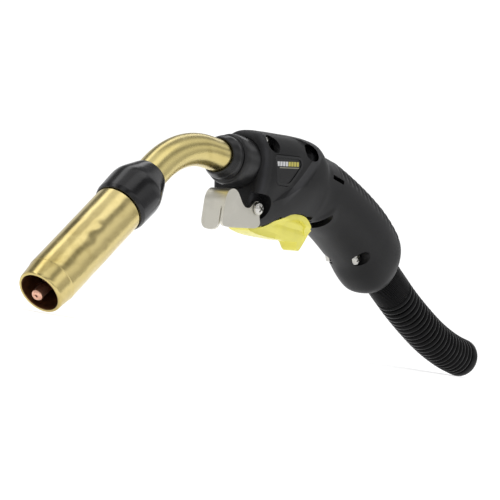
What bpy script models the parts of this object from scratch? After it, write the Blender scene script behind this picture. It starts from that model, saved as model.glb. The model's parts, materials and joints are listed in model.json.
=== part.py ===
"""MIG welding torch: brass gas nozzle and bent neck, two-part pistol handle, sprung trigger with
its switch, hanging hook and corrugated cable boot.

The torch is drawn in its own drawing frame: X runs forward along the neck collar's axis, Y to
the torch's left, Z up, with the origin at the collar's front. The empty "torch" then tilts the
drawing so that the nozzle rim and the end of the boot stand on Z = 0.
"""

import math

import bmesh
import bpy
from mathutils import Euler, Matrix, Vector

# ---------------------------------------------------------------- driving dimensions, in mm
MM = 0.001
GAP = 0.3                     # clearance between pieces that touch

# neck: a tube with one 45 degree bend
NECK_LEAD = 11.4              # straight length ahead of the collar before the bend
NECK_BEND_RADIUS = 62.0       # on the tube's centre line
NECK_BEND = math.radians(45)
JACKET_R, JACKET_BORE_R = 9.55, 8.45
SLEEVE_R, SLEEVE_BORE_R = 8.15, 6.95
CONDUCTOR_R, CONDUCTOR_BORE_R = 6.65, 2.9
LINER_R, LINER_BORE_R = 2.5, 1.0

# nozzle end, lengths along the neck's centre line from the collar's front
RING_FRONT = 100.0            # front edge of the insulating ring
NOZZLE_LENGTH = 77.9          # ahead of the ring
NOZZLE_R, NOZZLE_BORE_R = 14.3, 12.2
RIM_R, RIM_BORE_R = 13.25, 11.2
TIP_R, TIP_STICK_OUT = 4.0, 3.3

# collar on the handle
COLLAR_R, NUT_R = 13.0, 15.3

# trigger
PIVOT_X, PIVOT_Z, PIVOT_R = -35.0, -32.5, 1.5
TRIGGER_TRAVEL = math.radians(5)
# switch lever's own hinge
LEVER_X, LEVER_Z = -58.5, -15.6

# cable boot: centre line from the handle's rear, X and Z
BOOT_LINE = [(-190.0, -38.6), (-203.7, -45.6), (-222.6, -54.8), (-243.2, -63.3),
             (-264.0, -70.6), (-284.5, -75.7), (-300.0, -78.1), (-313.0, -79.2)]
BOOT_R, BOOT_GROOVE_R, BOOT_BORE_R = 12.9, 11.5, 9.6
BOOT_RINGS, BOOT_PITCH = 22, 4.45
CUFF_LENGTH = 22.0

# tilt and place of the drawing in the world
TILT = math.radians(2.555)    # lifts the nozzle end level with the boot's end
LIFT = 105.11                 # of the collar's front above the ground
SHIFT = 78.54                 # brings the middle of the length to X = 0

HOOK_SHEET = 1.6
PANEL_DEPTH = 1.6
SCREW_XZ = {"front": (-31.5, 14.2), "middle": (-69.5, 16.6), "rear": (-147.2, -36.2)}
HOOK_SCREW_XZ = (-29.0, -25.4)

# ---------------------------------------------------------------- scene and helpers
for old in list(bpy.data.objects):
    bpy.data.objects.remove(old)

parts = bpy.data.collections.new("mig_welding_torch")
cutters = bpy.data.collections.new("cutters")
for made in (parts, cutters):
    bpy.context.scene.collection.children.link(made)
cutters.hide_render = True

torch = bpy.data.objects.new("torch", None)
torch.rotation_euler = (0, -TILT, 0)
torch.location = (SHIFT * MM, 0, LIFT * MM)
parts.objects.link(torch)


def material(name, colour, metallic, roughness):
    made = bpy.data.materials.new(name)
    made.use_nodes = True
    shader = made.node_tree.nodes["Principled BSDF"]
    shader.inputs["Base Color"].default_value = (*colour, 1)
    shader.inputs["Metallic"].default_value = metallic
    shader.inputs["Roughness"].default_value = roughness
    return made


BRASS = material("brass", (0.74, 0.62, 0.30), 1.0, 0.30)
COPPER = material("copper", (0.80, 0.42, 0.28), 1.0, 0.32)
STEEL = material("plated_steel", (0.72, 0.71, 0.68), 1.0, 0.28)
NICKEL = material("satin_nickel", (0.74, 0.72, 0.68), 1.0, 0.36)
HANDLE_BLACK = material("handle_nylon", (0.048, 0.048, 0.052), 0.0, 0.55)
GLOSS_BLACK = material("phenolic_black", (0.020, 0.020, 0.022), 0.0, 0.22)
RUBBER = material("boot_rubber", (0.026, 0.026, 0.028), 0.0, 0.48)
YELLOW = material("trigger_yellow", (0.78, 0.73, 0.16), 0.0, 0.38)
SWITCH_GREY = material("switch_body", (0.10, 0.10, 0.11), 0.0, 0.45)
LEAD_BLACK = material("switch_lead", (0.03, 0.03, 0.03), 0.0, 0.50)


def add(name, data, mat, place=(0, 0, 0), turn=(0, 0, 0), cutter=False):
    """A named object in the drawing frame; place is in mm, turn an Euler in radians."""
    obj = bpy.data.objects.new(name, data)
    if not cutter:
        data.materials.append(mat)
    (cutters if cutter else parts).objects.link(obj)
    if cutter:
        obj.hide_render = True
        obj.display_type = "WIRE"
    obj.parent = torch
    obj.location = Vector(place) * MM
    obj.rotation_euler = turn
    return obj


def smooth(obj, degrees=35):
    obj.data.shade_smooth()
    obj.data.set_sharp_from_angle(angle=math.radians(degrees))


def along(direction):
    """Euler that turns local +Z onto a direction in the drawing frame."""
    return Vector(direction).to_track_quat("Z", "Y").to_euler()


def turned(name, profile, mat, place, direction, steps=28, cutter=False):
    """A turned shape from (radius, distance) pairs, down the outside and back up the bore.

    Distances run along the direction. A profile that starts on the axis stays open."""
    verts = [(r * MM, 0, d * MM) for r, d in profile]
    count = len(verts)
    edges = [(i, i + 1) for i in range(count - 1)]
    if profile[0][0] > 0:
        edges.append((count - 1, 0))
    mesh = bpy.data.meshes.new(name)
    mesh.from_pydata(verts, edges, [])
    obj = add(name, mesh, mat, place, along(direction), cutter)
    screw = obj.modifiers.new("turn", "SCREW")
    screw.steps = screw.render_steps = steps
    screw.use_merge_vertices = True
    screw.merge_threshold = 0.00001
    screw.use_smooth_shade = True
    return obj


def tube_pieces(line, radius, sides):
    """A mesh swept along a line of (x, z) points by a curve with filled caps."""
    curve = bpy.data.curves.new("sweep", "CURVE")
    curve.dimensions = "3D"
    curve.fill_mode = "FULL"
    curve.use_fill_caps = True
    curve.bevel_depth = MM
    curve.bevel_resolution = max(0, sides // 2 - 2)
    spline = curve.splines.new("POLY")
    spline.points.add(len(line) - 1)
    for i, (point, at) in enumerate(zip(spline.points, line)):
        x, y, z = (at[0], 0.0, at[1]) if len(at) == 2 else at
        point.co = (x * MM, y * MM, z * MM, 1)
        point.radius = radius[i] if isinstance(radius, (list, tuple)) else radius
    return meshed(curve)


def meshed(curve):
    """The mesh of a curve, with its caps welded to its sides."""
    holder = bpy.data.objects.new("holder", curve)
    bpy.context.scene.collection.objects.link(holder)
    bpy.context.view_layer.update()
    graph = bpy.context.evaluated_depsgraph_get()
    mesh = bpy.data.meshes.new_from_object(holder.evaluated_get(graph))
    bpy.data.objects.remove(holder)
    bm = bmesh.new()
    bm.from_mesh(mesh)
    bmesh.ops.remove_doubles(bm, verts=bm.verts, dist=0.000001)
    bmesh.ops.recalc_face_normals(bm, faces=bm.faces)
    bm.to_mesh(mesh)
    bm.free()
    return mesh


def swept(name, line, radius, mat, bore=None, bore_line=None, sides=20):
    """A tube along a line, with an open bore if one is given."""
    obj = add(name, tube_pieces(line, radius, sides), mat)
    smooth(obj)
    if bore:
        inner = add(name + "_bore", tube_pieces(bore_line or line, bore, sides), None, cutter=True)
        boolean(obj, inner)
    return obj


def extruded(name, outline, y0, y1, mat, pivot=(0.0, 0.0), cutter=False, bevel=0.0):
    """A flat outline of (x, z) points, extruded from y0 to y1, with its origin at the pivot."""
    curve = bpy.data.curves.new(name, "CURVE")
    curve.dimensions = "2D"
    curve.fill_mode = "BOTH"
    curve.extrude = abs(y1 - y0) / 2 * MM
    spline = curve.splines.new("POLY")
    spline.use_cyclic_u = True
    spline.points.add(len(outline) - 1)
    for point, (x, z) in zip(spline.points, outline):
        point.co = ((x - pivot[0]) * MM, (z - pivot[1]) * MM, 0, 1)
    obj = add(name, meshed(curve), mat, (pivot[0], (y0 + y1) / 2, pivot[1]),
              (math.pi / 2, 0, 0), cutter)
    if bevel:
        round_off(obj, bevel)
    return obj


def round_off(obj, width, segments=2, degrees=40):
    mod = obj.modifiers.new("edges", "BEVEL")
    mod.width = width * MM
    mod.segments = segments
    mod.limit_method = "ANGLE"
    mod.angle_limit = math.radians(degrees)
    return mod


def box(name, low, high, mat, cutter=False, bevel=0.0):
    mesh = bpy.data.meshes.new(name)
    bm = bmesh.new()
    bmesh.ops.create_cube(bm, size=1.0)
    size = [(b - a) * MM for a, b in zip(low, high)]
    bmesh.ops.scale(bm, vec=size, verts=bm.verts)
    bm.to_mesh(mesh)
    bm.free()
    centre = [(a + b) / 2 for a, b in zip(low, high)]
    obj = add(name, mesh, mat, centre, cutter=cutter)
    if bevel:
        round_off(obj, bevel)
    return obj


def rod(name, radius, start, end, mat, sides=16, cutter=False, bevel=0.0):
    """A cylinder between two points in mm."""
    a, b = Vector(start), Vector(end)
    mesh = bpy.data.meshes.new(name)
    bm = bmesh.new()
    bmesh.ops.create_cone(bm, cap_ends=True, segments=sides, radius1=radius * MM,
                          radius2=radius * MM, depth=(b - a).length * MM)
    bm.to_mesh(mesh)
    bm.free()
    obj = add(name, mesh, mat, (a + b) / 2, along(b - a), cutter)
    if not cutter:
        smooth(obj)
    if bevel:
        round_off(obj, bevel)
    return obj


def boolean(obj, other, operation="DIFFERENCE"):
    mod = obj.modifiers.new(other.name, "BOOLEAN")
    mod.object = other
    mod.operation = operation
    mod.solver = "EXACT"
    return obj


def loft(name, sections, mat, cutter=False, sides=40):
    """A closed body through superellipse sections between a top and a bottom point.

    The fifth number of a section narrows its lower half towards the bottom."""
    bm = bmesh.new()
    rings = []
    for (tx, tz), (bx, bz), half_width, power, taper in sections:
        middle = Vector(((tx + bx) / 2, 0, (tz + bz) / 2))
        up = Vector(((tx - bx) / 2, 0, (tz - bz) / 2))
        ring = []
        for i in range(sides):
            a = 2 * math.pi * (i + 0.5) / sides
            c, s = math.cos(a), math.sin(a)
            y = half_width * math.copysign(abs(s) ** (2 / power), s)
            k = math.copysign(abs(c) ** (2 / power), c)
            y *= 1 - taper * max(-k, 0)
            ring.append(bm.verts.new((middle + up * k + Vector((0, y, 0))) * MM))
        rings.append(ring)
    for one, two in zip(rings, rings[1:]):
        for i in range(sides):
            j = (i + 1) % sides
            bm.faces.new((one[i], one[j], two[j], two[i]))
    bm.faces.new(rings[0])
    bm.faces.new(rings[-1])
    bmesh.ops.recalc_face_normals(bm, faces=bm.faces)
    mesh = bpy.data.meshes.new(name)
    bm.to_mesh(mesh)
    bm.free()
    obj = add(name, mesh, mat, cutter=cutter)
    smooth(obj, 50)
    return obj


# ---------------------------------------------------------------- neck and nozzle
def neck(length):
    """Point (x, z) and direction (x, z) on the neck's centre line, length ahead of the collar."""
    turn = min(max((length - NECK_LEAD) / NECK_BEND_RADIUS, 0), NECK_BEND)
    rest = max(length - NECK_LEAD - NECK_BEND_RADIUS * NECK_BEND, 0)
    x = min(length, NECK_LEAD) + NECK_BEND_RADIUS * math.sin(turn) + rest * math.cos(turn)
    z = -NECK_BEND_RADIUS * (1 - math.cos(turn)) - rest * math.sin(turn)
    return (x, z), (math.cos(turn), -math.sin(turn))


def neck_line(start, end, bends=8):
    arc = NECK_BEND_RADIUS * NECK_BEND
    stops = [start] + [NECK_LEAD + arc * i / bends for i in range(bends + 1)] + [end]
    return [neck(stop)[0] for stop in stops if start <= stop <= end]


RING_AT, FORWARD = neck(RING_FRONT)
RING_PLACE = (RING_AT[0], 0, RING_AT[1])
AXIS = (FORWARD[0], 0, FORWARD[1])
FRONT = NOZZLE_LENGTH

gas_nozzle = turned("gas_nozzle", [
    (RIM_R - 0.5, FRONT), (RIM_R, FRONT - 0.6), (RIM_R + 0.15, FRONT - 3), (NOZZLE_R, FRONT - 11),
    (NOZZLE_R, 0.9), (NOZZLE_R - 0.5, 0.3), (13.4, 0.3), (13.4, -9),
    (NOZZLE_BORE_R, -9), (NOZZLE_BORE_R, FRONT - 16), (RIM_BORE_R, FRONT - 8),
    (RIM_BORE_R, FRONT - 0.4), (RIM_BORE_R + 0.4, FRONT)], BRASS, RING_PLACE, AXIS, 28)

turned("nozzle_insulator", [
    (14.5, 0), (15.0, -0.4), (15.8, -2.4), (16.2, -15.5), (15.8, -19.0), (14.7, -22.3),
    (11.4, -30.5), (10.4, -32.6), (9.85, -32.6), (9.85, -11.8), (13.7, -11.8), (13.7, 0)],
    GLOSS_BLACK, RING_PLACE, AXIS, 28)

turned("nozzle_adapter", [(11.9, 6), (11.9, -11), (9.85, -11), (9.85, 6)],
       BRASS, RING_PLACE, AXIS, 28)

swept("swan_neck_jacket", neck_line(-37, 99), JACKET_R, BRASS, JACKET_BORE_R,
      neck_line(-40, 104), 24)
swept("neck_sleeve", neck_line(-39, 100.5), SLEEVE_R, GLOSS_BLACK, SLEEVE_BORE_R,
      neck_line(-43, 105), 16)
swept("neck_conductor", neck_line(-52, 112), CONDUCTOR_R, COPPER, CONDUCTOR_BORE_R,
      neck_line(-56, 116), 12)
swept("wire_liner", neck_line(-66, 128), LINER_R, STEEL, LINER_BORE_R, neck_line(-70, 132), 8)

diffuser = turned("gas_diffuser", [
    (7.4, 45.7), (8.4, 44.5), (8.4, 30), (7.2, 28), (7.2, 20), (8.4, 18), (8.4, 12.5),
    (3.0, 12.5), (3.0, 31), (4.4, 32), (4.4, 45.7)], BRASS, RING_PLACE, AXIS, 24)
for i in range(4):
    turn = math.radians(45 + 90 * i)
    side = Vector(AXIS).cross((0, 1, 0)) * math.cos(turn) + Vector((0, 1, 0)) * math.sin(turn)
    base = Vector(RING_PLACE) + Vector(AXIS) * 24
    boolean(diffuser, rod(f"gas_port_{i}", 1.3, base + side * 1.0, base + side * 12, None, 10,
                          cutter=True))

turned("contact_tip", [
    (3.3, FRONT + TIP_STICK_OUT), (TIP_R, FRONT + TIP_STICK_OUT - 1.0), (TIP_R, 46.2),
    (TIP_R, 33.5), (0.75, 33.5), (0.75, FRONT + TIP_STICK_OUT)], COPPER, RING_PLACE, AXIS, 20)

# ---------------------------------------------------------------- collar on the handle
collar = turned("neck_collar", [
    (10.1, 1.5), (10.9, 1.2), (12.4, -1.5), (13.0, -3.2), (13.0, -8.2), (9.85, -8.2), (9.85, 1.5)],
    RUBBER, (0, 0, 0), (1, 0, 0), 32)
turned("collar_nut", [
    (13.7, -8.6), (14.9, -9.6), (NUT_R, -11.5), (NUT_R, -23.6), (16.6, -23.6), (16.6, -26.2),
    (9.85, -26.2), (9.85, -8.6)], RUBBER, (0, 0, 0), (1, 0, 0), 32)

# ---------------------------------------------------------------- handle
# (top point), (bottom point), half width, superellipse power
BODY = [
    ((-21.5, 14.5), (-21.5, -33.0), 13.6, 2.6, 0.20), ((-22.0, 17.0), (-22.0, -35.0), 15.6, 2.7, 0.20),
    ((-24.0, 19.0), (-24.0, -36.2), 17.3, 2.8, 0.22), ((-28.0, 20.6), (-28.0, -36.8), 18.3, 2.8, 0.24),
    ((-36.0, 21.8), (-36.0, -36.9), 19.0, 2.8, 0.26), ((-48.0, 23.1), (-46.0, -35.6), 19.5, 2.8, 0.26),
    ((-62.0, 24.6), (-57.0, -33.4), 19.9, 2.8, 0.26), ((-74.5, 25.4), (-68.0, -31.0), 20.2, 2.7, 0.24),
    ((-82.5, 24.8), (-77.0, -28.6), 20.2, 2.6, 0.20), ((-87.0, 22.6), (-83.0, -26.6), 20.1, 2.5, 0.14),
    ((-90.6, 19.9), (-87.0, -25.2), 20.0, 2.4, 0.08), ((-96.0, 19.8), (-91.0, -24.4), 19.9, 2.4, 0.04),
    ((-106.0, 18.7), (-97.5, -24.2), 19.9, 2.4, 0.0), ((-118.0, 16.1), (-106.5, -25.6), 19.9, 2.4, 0.0),
    ((-134.0, 11.9), (-119.0, -28.8), 20.0, 2.4, 0.0), ((-151.0, 6.6), (-134.0, -34.6), 20.2, 2.4, 0.0),
    ((-166.5, 0.7), (-148.5, -41.6), 20.3, 2.4, 0.0), ((-178.5, -5.2), (-159.5, -49.4), 20.1, 2.4, 0.0),
    ((-186.6, -9.9), (-167.6, -53.8), 19.4, 2.4, 0.0), ((-191.0, -13.6), (-173.5, -54.7), 18.2, 2.4, 0.0),
    ((-193.4, -17.2), (-179.0, -53.6), 16.4, 2.3, 0.0), ((-194.0, -21.0), (-183.5, -50.8), 14.2, 2.2, 0.0),
]
WALL = 2.8


def inset(section, by):
    """The same section with its half height and half width smaller by a wall."""
    (tx, tz), (bx, bz), half_width, power, taper = section
    up = Vector((tx - bx, tz - bz)).normalized() * by
    return (tx - up.x, tz - up.y), (bx + up.x, bz + up.y), half_width - by, power, taper


def hollow_section(section):
    top, (bx, bz), half_width, power, taper = inset(section, WALL)
    floor = -18.5 if bx > -42 else bz          # the nose under the collar stays solid
    share = (top[1] - floor) / (top[1] - bz)
    bottom = (top[0] + (bx - top[0]) * share, floor)
    return top, bottom, half_width, power, taper


HOLLOW = [hollow_section(section) for section in BODY[4:-2]]
HOLLOW[0] = ((-35.2, 17.4), (-35.2, -17.4), 15.4, 2.2, 0.1)
HOLLOW.append(((-189.0, -23.0), (-179.0, -45.0), 11.0, 2.0, 0.0))

TRIGGER_ARCH = [(-41.5, -45), (-41.5, -34.9), (-44.5, -33.9), (-49.0, -31.6), (-54.9, -27.3),
                (-60.9, -23.8), (-68.0, -21.8), (-74.5, -21.2), (-79.5, -21.6), (-84.0, -23.4),
                (-87.6, -26.0), (-89.0, -29.0), (-89.0, -45)]

TRIGGER_SIDE = [p for p in TRIGGER_ARCH if p[1] > -35 and p[0] > -88] + [
    (-88.4, -27.6), (-91.6, -28.0), (-90.4, -36.0), (-89.2, -41.2), (-87.0, -41.4), (-85.4, -40.4),
    (-84.0, -37.0), (-82.6, -36.4), (-72.0, -37.6), (-60.0, -38.4), (-48.9, -39.0), (-41.5, -38.6)]


def grown(outline, by):
    """An outline with every edge moved outwards by a distance."""
    points = [Vector(p) for p in outline]
    area = sum(a.x * b.y - b.x * a.y for a, b in zip(points, points[1:] + points[:1]))
    side = 1 if area > 0 else -1
    moved = []
    for i, here in enumerate(points):
        one = (here - points[i - 1]).normalized()
        two = (points[(i + 1) % len(points)] - here).normalized()
        out = (Vector((one.y, -one.x)) + Vector((two.y, -two.x))) * side / 2
        moved.append(tuple(here + out * (by / max(out.length_squared, 0.25))))
    return moved


def offset_arch(by):
    """The trigger's arch grown by a clearance, round the middle of its base."""
    middle = Vector((-66.0, -34.0))
    return [tuple(Vector(p) + (Vector(p) - middle).normalized() * by) for p in TRIGGER_ARCH]


def swung(outline, angle):
    """An outline turned about the trigger's pin, upwards into the handle."""
    pivot = Vector((PIVOT_X, PIVOT_Z))
    c, s = math.cos(angle), math.sin(angle)
    return [(pivot.x + (x - pivot.x) * c + (z - pivot.y) * s,
             pivot.y - (x - pivot.x) * s + (z - pivot.y) * c) for x, z in outline]


def disc_outline(x, z, radius, start=0.0, end=360.0, count=20):
    return [(x + radius * math.cos(math.radians(start + (end - start) * i / (count - 1))),
             z + radius * math.sin(math.radians(start + (end - start) * i / (count - 1))))
            for i in range(count)]


# ribs inside each half, low and high corners: they seat the spring, the switch and the block
RIBS = [("spring", (-52.0, 0.15, -20.5), (-44.0, 19.0, -17.6)),
        ("switch", (-75.0, 3.5, -12.2), (-66.0, 19.0, -7.6)),
        ("block", (-50.0, 10.6, -3.0), (-46.5, 19.0, 3.0))]


def handle_half(name, sign):
    half = loft(name, BODY, HANDLE_BLACK)
    low, high = sorted((-sign * 40, sign * GAP / 2))
    boolean(half, box(name + "_seam", (-260, low, -90), (20, high, 60), None, cutter=True))
    boolean(half, hollow)
    for key, (x, z) in SCREW_XZ.items():
        boss = rod(f"{name}_boss_{key}", 5.6, (x, sign * 0.15, z), (x, sign * 16.4, z), None, 16,
                   cutter=True)
        boolean(boss, inner_body, "INTERSECT")
        boolean(half, boss, "UNION")
    for key, low_corner, high_corner in RIBS:
        ys = sorted((sign * low_corner[1], sign * high_corner[1]))
        rib = box(f"{name}_rib_{key}", (low_corner[0], ys[0], low_corner[2]),
                  (high_corner[0], ys[1], high_corner[2]), None, cutter=True)
        boolean(rib, inner_body, "INTERSECT")
        boolean(half, rib, "UNION")
    for cutter in side_cutters[sign]:
        boolean(half, cutter)
    return half


hollow = loft("handle_hollow", HOLLOW, None, cutter=True, sides=28)
inner_body = loft("handle_inner_body", [inset(s, 1.0) for s in BODY], None, cutter=True, sides=28)

# room for the pulled trigger inside the cheeks
trigger_room = extruded("trigger_room", swung(grown(TRIGGER_SIDE, 0.6), 1.05 * TRIGGER_TRAVEL),
                        -13.75, 13.75, None, cutter=True)
shared_cutters = [
    rod("collar_hole", NUT_R + 0.3, (-10, 0, 0), (-25.0, 0, 0), None, 32, cutter=True),
    rod("collar_groove", 16.9, (-23.2, 0, 0), (-26.6, 0, 0), None, 32, cutter=True),
    rod("neck_hole", JACKET_R + 0.4, (-26.0, 0, 0), (-38.0, 0, 0), None, 28, cutter=True),
    rod("boot_hole", BOOT_R + 0.3, (-176.0, 0, -31.8), (-216.0, 0, -51.6), None, 28, cutter=True),
    extruded("trigger_window", offset_arch(0.5), -30, 30, None, cutter=True),
    extruded("trigger_channel", [(-26.0, -45), (-26.0, -28.6), (-40.0, -27.4), (-60, -20),
                                 (-86, -20), (-90, -26), (-90, -45)], -7.4, 7.4, None,
             cutter=True),
    trigger_room,
    rod("trigger_pin_hole", PIVOT_R + 0.25, (PIVOT_X, -10.4, PIVOT_Z), (PIVOT_X, 10.4, PIVOT_Z),
        None, 14, cutter=True),
]
# pocket in the side behind the trigger's hump
POCKET = [(-82.0, -25.4), (-88.5, -25.2), (-94.2, -22.4), (-101.8, -15.6), (-103.6, -18.4),
          (-103.5, -23.4), (-101.2, -27.4), (-96.7, -32.0), (-82.0, -34.0)]
side_cutters = {1: list(shared_cutters), -1: list(shared_cutters)}
for sign, label in ((1, "left"), (-1, "right")):
    for key, (x, z) in SCREW_XZ.items():
        side_cutters[sign].append(rod(f"counterbore_{key}_{label}", 4.7, (x, sign * 8.6, z),
                                      (x, sign * 30, z), None, 18, cutter=True))
        side_cutters[sign].append(rod(f"screw_hole_{key}_{label}", 1.9, (x, sign * -2, z),
                                      (x, sign * 12, z), None, 12, cutter=True))
    x, z = HOOK_SCREW_XZ
    recess = disc_outline(x - 1.2, z + 0.4, 7.6, 90, 270, 9)
    recess += [(-14.0, z - 7.2 + 0.4), (-14.0, z + 8.0)]
    low, high = sorted((sign * 10.6, sign * 30))
    side_cutters[sign].append(extruded(f"hook_recess_{label}", recess, low, high, None,
                                       cutter=True))
    side_cutters[sign].append(rod(f"hook_screw_hole_{label}", 2.0, (x, sign * -2, z),
                                  (x, sign * 12, z), None, 12, cutter=True))
    low, high = sorted((sign * 3.0, sign * 30))
    side_cutters[sign].append(extruded(f"trigger_cavity_{label}", POCKET, low, high, None,
                                       cutter=True))

HOOK_Y = 10.9                  # inner face of the hook's plate, on the recess floor
LOBE = [(3.1, -39.4), (3.1, -25.2), (1.9, -21.4), (-0.8, -18.9), (-4.2, -18.0), (-7.6, -18.9),
        (-10.6, -21.4), (-14.0, -24.9), (-17.6, -27.0), (-22.0, -26.4), (-24.8, -23.4),
        (-27.0, -21.5), (-30.0, -21.1), (-32.8, -23.0), (-33.4, -26.0), (-32.4, -29.0),
        (-34.4, -33.2), (-33.6, -35.2), (-30.0, -37.0), (-6.0, -40.6), (1.2, -40.8)]
for sign, label in ((1, "left"), (-1, "right")):
    low, high = sorted((sign * (HOOK_Y - GAP), sign * 30))
    side_cutters[sign].append(extruded(f"hook_seat_{label}", grown(LOBE, 0.5), low, high, None,
                                       cutter=True))

# blank badge panel let into each side
BADGE = [(-31.9, 6.4), (-33.6, 8.2), (-57.0, 11.4), (-59.6, 9.9), (-60.6, 6.6), (-59.4, 3.8),
         (-50.6, -7.4), (-48.4, -8.6), (-38.4, -9.6), (-36.2, -8.0)]
REAR_SLOT = [(-93.9, 7.6), (-93.4, 4.9), (-106.6, 3.6), (-107.4, 6.2)]
badge_floor = loft("badge_floor", [inset(s, PANEL_DEPTH) for s in BODY], None, cutter=True)
badge_back = loft("badge_back", [inset(s, PANEL_DEPTH - 0.35) for s in BODY], None, cutter=True)
badge_crown = loft("badge_crown", [inset(s, 0.2) for s in BODY], None, cutter=True)
for sign, label in ((1, "left"), (-1, "right")):
    low, high = sorted((sign * 11.0, sign * 30))
    seat = extruded(f"badge_seat_{label}", BADGE, low, high, None, cutter=True)
    boolean(seat, badge_floor)
    side_cutters[sign].append(seat)
    panel = extruded(f"badge_panel_{label}", grown(BADGE, -0.35), low, high, HANDLE_BLACK)
    boolean(panel, badge_back)
    boolean(panel, badge_crown, "INTERSECT")
    low, high = sorted((sign * 14.0, sign * 30))
    side_cutters[sign].append(extruded(f"side_slot_{label}", REAR_SLOT, low, high, None,
                                       cutter=True))

handle_half("handle_left", 1)
handle_half("handle_right", -1)


# ---------------------------------------------------------------- screws, nuts and hook
for key, (x, z) in SCREW_XZ.items():
    turned(f"handle_screw_{key}", [(0, 11.6), (2.8, 11.6), (3.9, 10.6), (3.9, 8.9), (1.6, 8.9),
                                   (1.6, -10.4), (0, -10.4)], STEEL, (x, 0, z), (0, 1, 0), 16)
    turned(f"handle_nut_{key}", [(3.5, -8.9), (3.5, -11.6), (1.9, -11.6), (1.9, -8.9)], STEEL,
           (x, 0, z), (0, 1, 0), 6)

hook = extruded("hanging_hook", LOBE, HOOK_Y, HOOK_Y + HOOK_SHEET, NICKEL)
STRIP = [(3.1, -44.0), (3.1, -25.2), (1.9, -21.4), (-0.8, -18.9), (-4.2, -18.0), (-7.6, -18.9),
         (-6.9, -20.3), (-4.2, -19.6), (-1.4, -20.3), (0.5, -22.2), (1.5, -25.4), (1.5, -44.0)]
strip = extruded("hook_strip", STRIP, -2.6, HOOK_Y + 0.8, None, cutter=True)
SIDE = [(-2.6, -10.0), (-2.6, -38.5), (-1.9, -41.0), (0.0, -42.9), (2.6, -43.5), (5.4, -43.5),
        (8.0, -42.9), (9.6, -41.0), (10.0, -38.5), (10.0, -30.0), (13.0, -28.0), (13.0, -10.0)]
strip_end = extruded("hook_strip_end", [(-y, z) for y, z in SIDE], -12, 12, None, cutter=True)
strip_end.rotation_euler = (math.pi / 2, 0, -math.pi / 2)
boolean(strip, strip_end, "INTERSECT")
boolean(hook, strip, "UNION")
boolean(hook, rod("hook_eye", 2.3, (HOOK_SCREW_XZ[0], 8, HOOK_SCREW_XZ[1]),
                  (HOOK_SCREW_XZ[0], 16, HOOK_SCREW_XZ[1]), None, 14, cutter=True))
x, z = HOOK_SCREW_XZ
turned("hook_screw", [(0, 16.2), (2.6, 16.2), (3.9, 15.2), (3.9, 12.8), (1.7, 12.8), (1.7, -12.4),
                      (0, -12.4)], STEEL, (x, 0, z), (0, 1, 0), 20)
turned("hook_nut", [(4.0, -10.9), (4.0, -13.9), (2.0, -13.9), (2.0, -10.9)], STEEL, (x, 0, z),
       (0, 1, 0), 6)

# ---------------------------------------------------------------- trigger and its switch
trigger = extruded("trigger", TRIGGER_SIDE, -19, 19, YELLOW, (PIVOT_X, PIVOT_Z))
WAIST = [(3.2, -45), (5.4, -40.0), (9.4, -29.0), (12.6, -26.8), (13.4, -20), (13.4, 0)]
waist = extruded("trigger_waist", WAIST + [(-y, z) for y, z in reversed(WAIST)], -110, -20, None,
                 cutter=True)
waist.rotation_euler = (math.pi / 2, 0, math.pi / 2)
waist.location = (-65 * MM, 0, 0)
boolean(trigger, waist, "INTERSECT")
TONGUE = [(-28.6, -36.4), (-29.2, -31.6), (-32.0, -29.2), (-37.5, -28.8), (-41.0, -30.2),
          (-44.0, -34.0), (-60.0, -34.4), (-60.0, -38.4), (-48.9, -39.0), (-40.4, -39.0),
          (-32.5, -38.2)]
boolean(trigger, extruded("trigger_core", TONGUE, -7.0, 7.0, None, cutter=True), "UNION")
boolean(trigger, rod("trigger_bore", PIVOT_R + 0.3, (PIVOT_X, -20, PIVOT_Z),
                     (PIVOT_X, 20, PIVOT_Z), None, 14, cutter=True))
TROUGH = [(-77.0, -10.0), (-76.6, -29.0), (-64.0, -32.4), (-45.0, -35.0), (-44.0, -34.0),
          (-44.0, -10.0)]
boolean(trigger, extruded("trigger_trough", TROUGH, -6.4, 6.4, None, cutter=True))
boolean(trigger, rod("spring_pocket", 3.4, (-48.0, 0, -33.5), (-48.0, 0, -15), None, 14,
                     cutter=True))

rod("trigger_pin", PIVOT_R, (PIVOT_X, -10.0, PIVOT_Z), (PIVOT_X, 10.0, PIVOT_Z), STEEL, 14)

SPRING_TURNS, SPRING_R, SPRING_WIRE = 4, 2.6, 0.35
spring_low, spring_high = -33.0, -20.9
coil = [(-48.0 + SPRING_R * math.cos(a), SPRING_R * math.sin(a),
         spring_low + (spring_high - spring_low) * i / (SPRING_TURNS * 10))
        for i in range(SPRING_TURNS * 10 + 1) for a in [2 * math.pi * i / 10]]
swept("trigger_spring", coil, SPRING_WIRE, STEEL, sides=6)

switch = box("switch_body", (-80.0, -3.2, -13.2), (-59.5, 3.2, -5.2), SWITCH_GREY, bevel=0.4)
boolean(switch, box("button_hole", (-70.9, -1.6, -14.0), (-67.7, 1.6, -10.3), None, cutter=True))
box("switch_button", (-70.6, -1.3, -17.4), (-68.0, 1.3, -12.8), STEEL)
extruded("switch_lever", [(LEVER_X + 1.2, LEVER_Z - 0.2), (LEVER_X + 1.2, LEVER_Z + 0.4),
                          (-69.4, -18.0), (-78.6, -20.0), (-80.6, -20.0), (-80.6, -20.6),
                          (-78.5, -20.6), (-69.2, -18.6)], -2.2, 2.2, STEEL, (LEVER_X, LEVER_Z))
for i, y in enumerate((-1.9, 1.9)):
    box(f"switch_terminal_{'ab'[i]}", (-85.0, y - 0.4, -10.6), (-80.3, y + 0.4, -7.8), BRASS)

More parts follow.
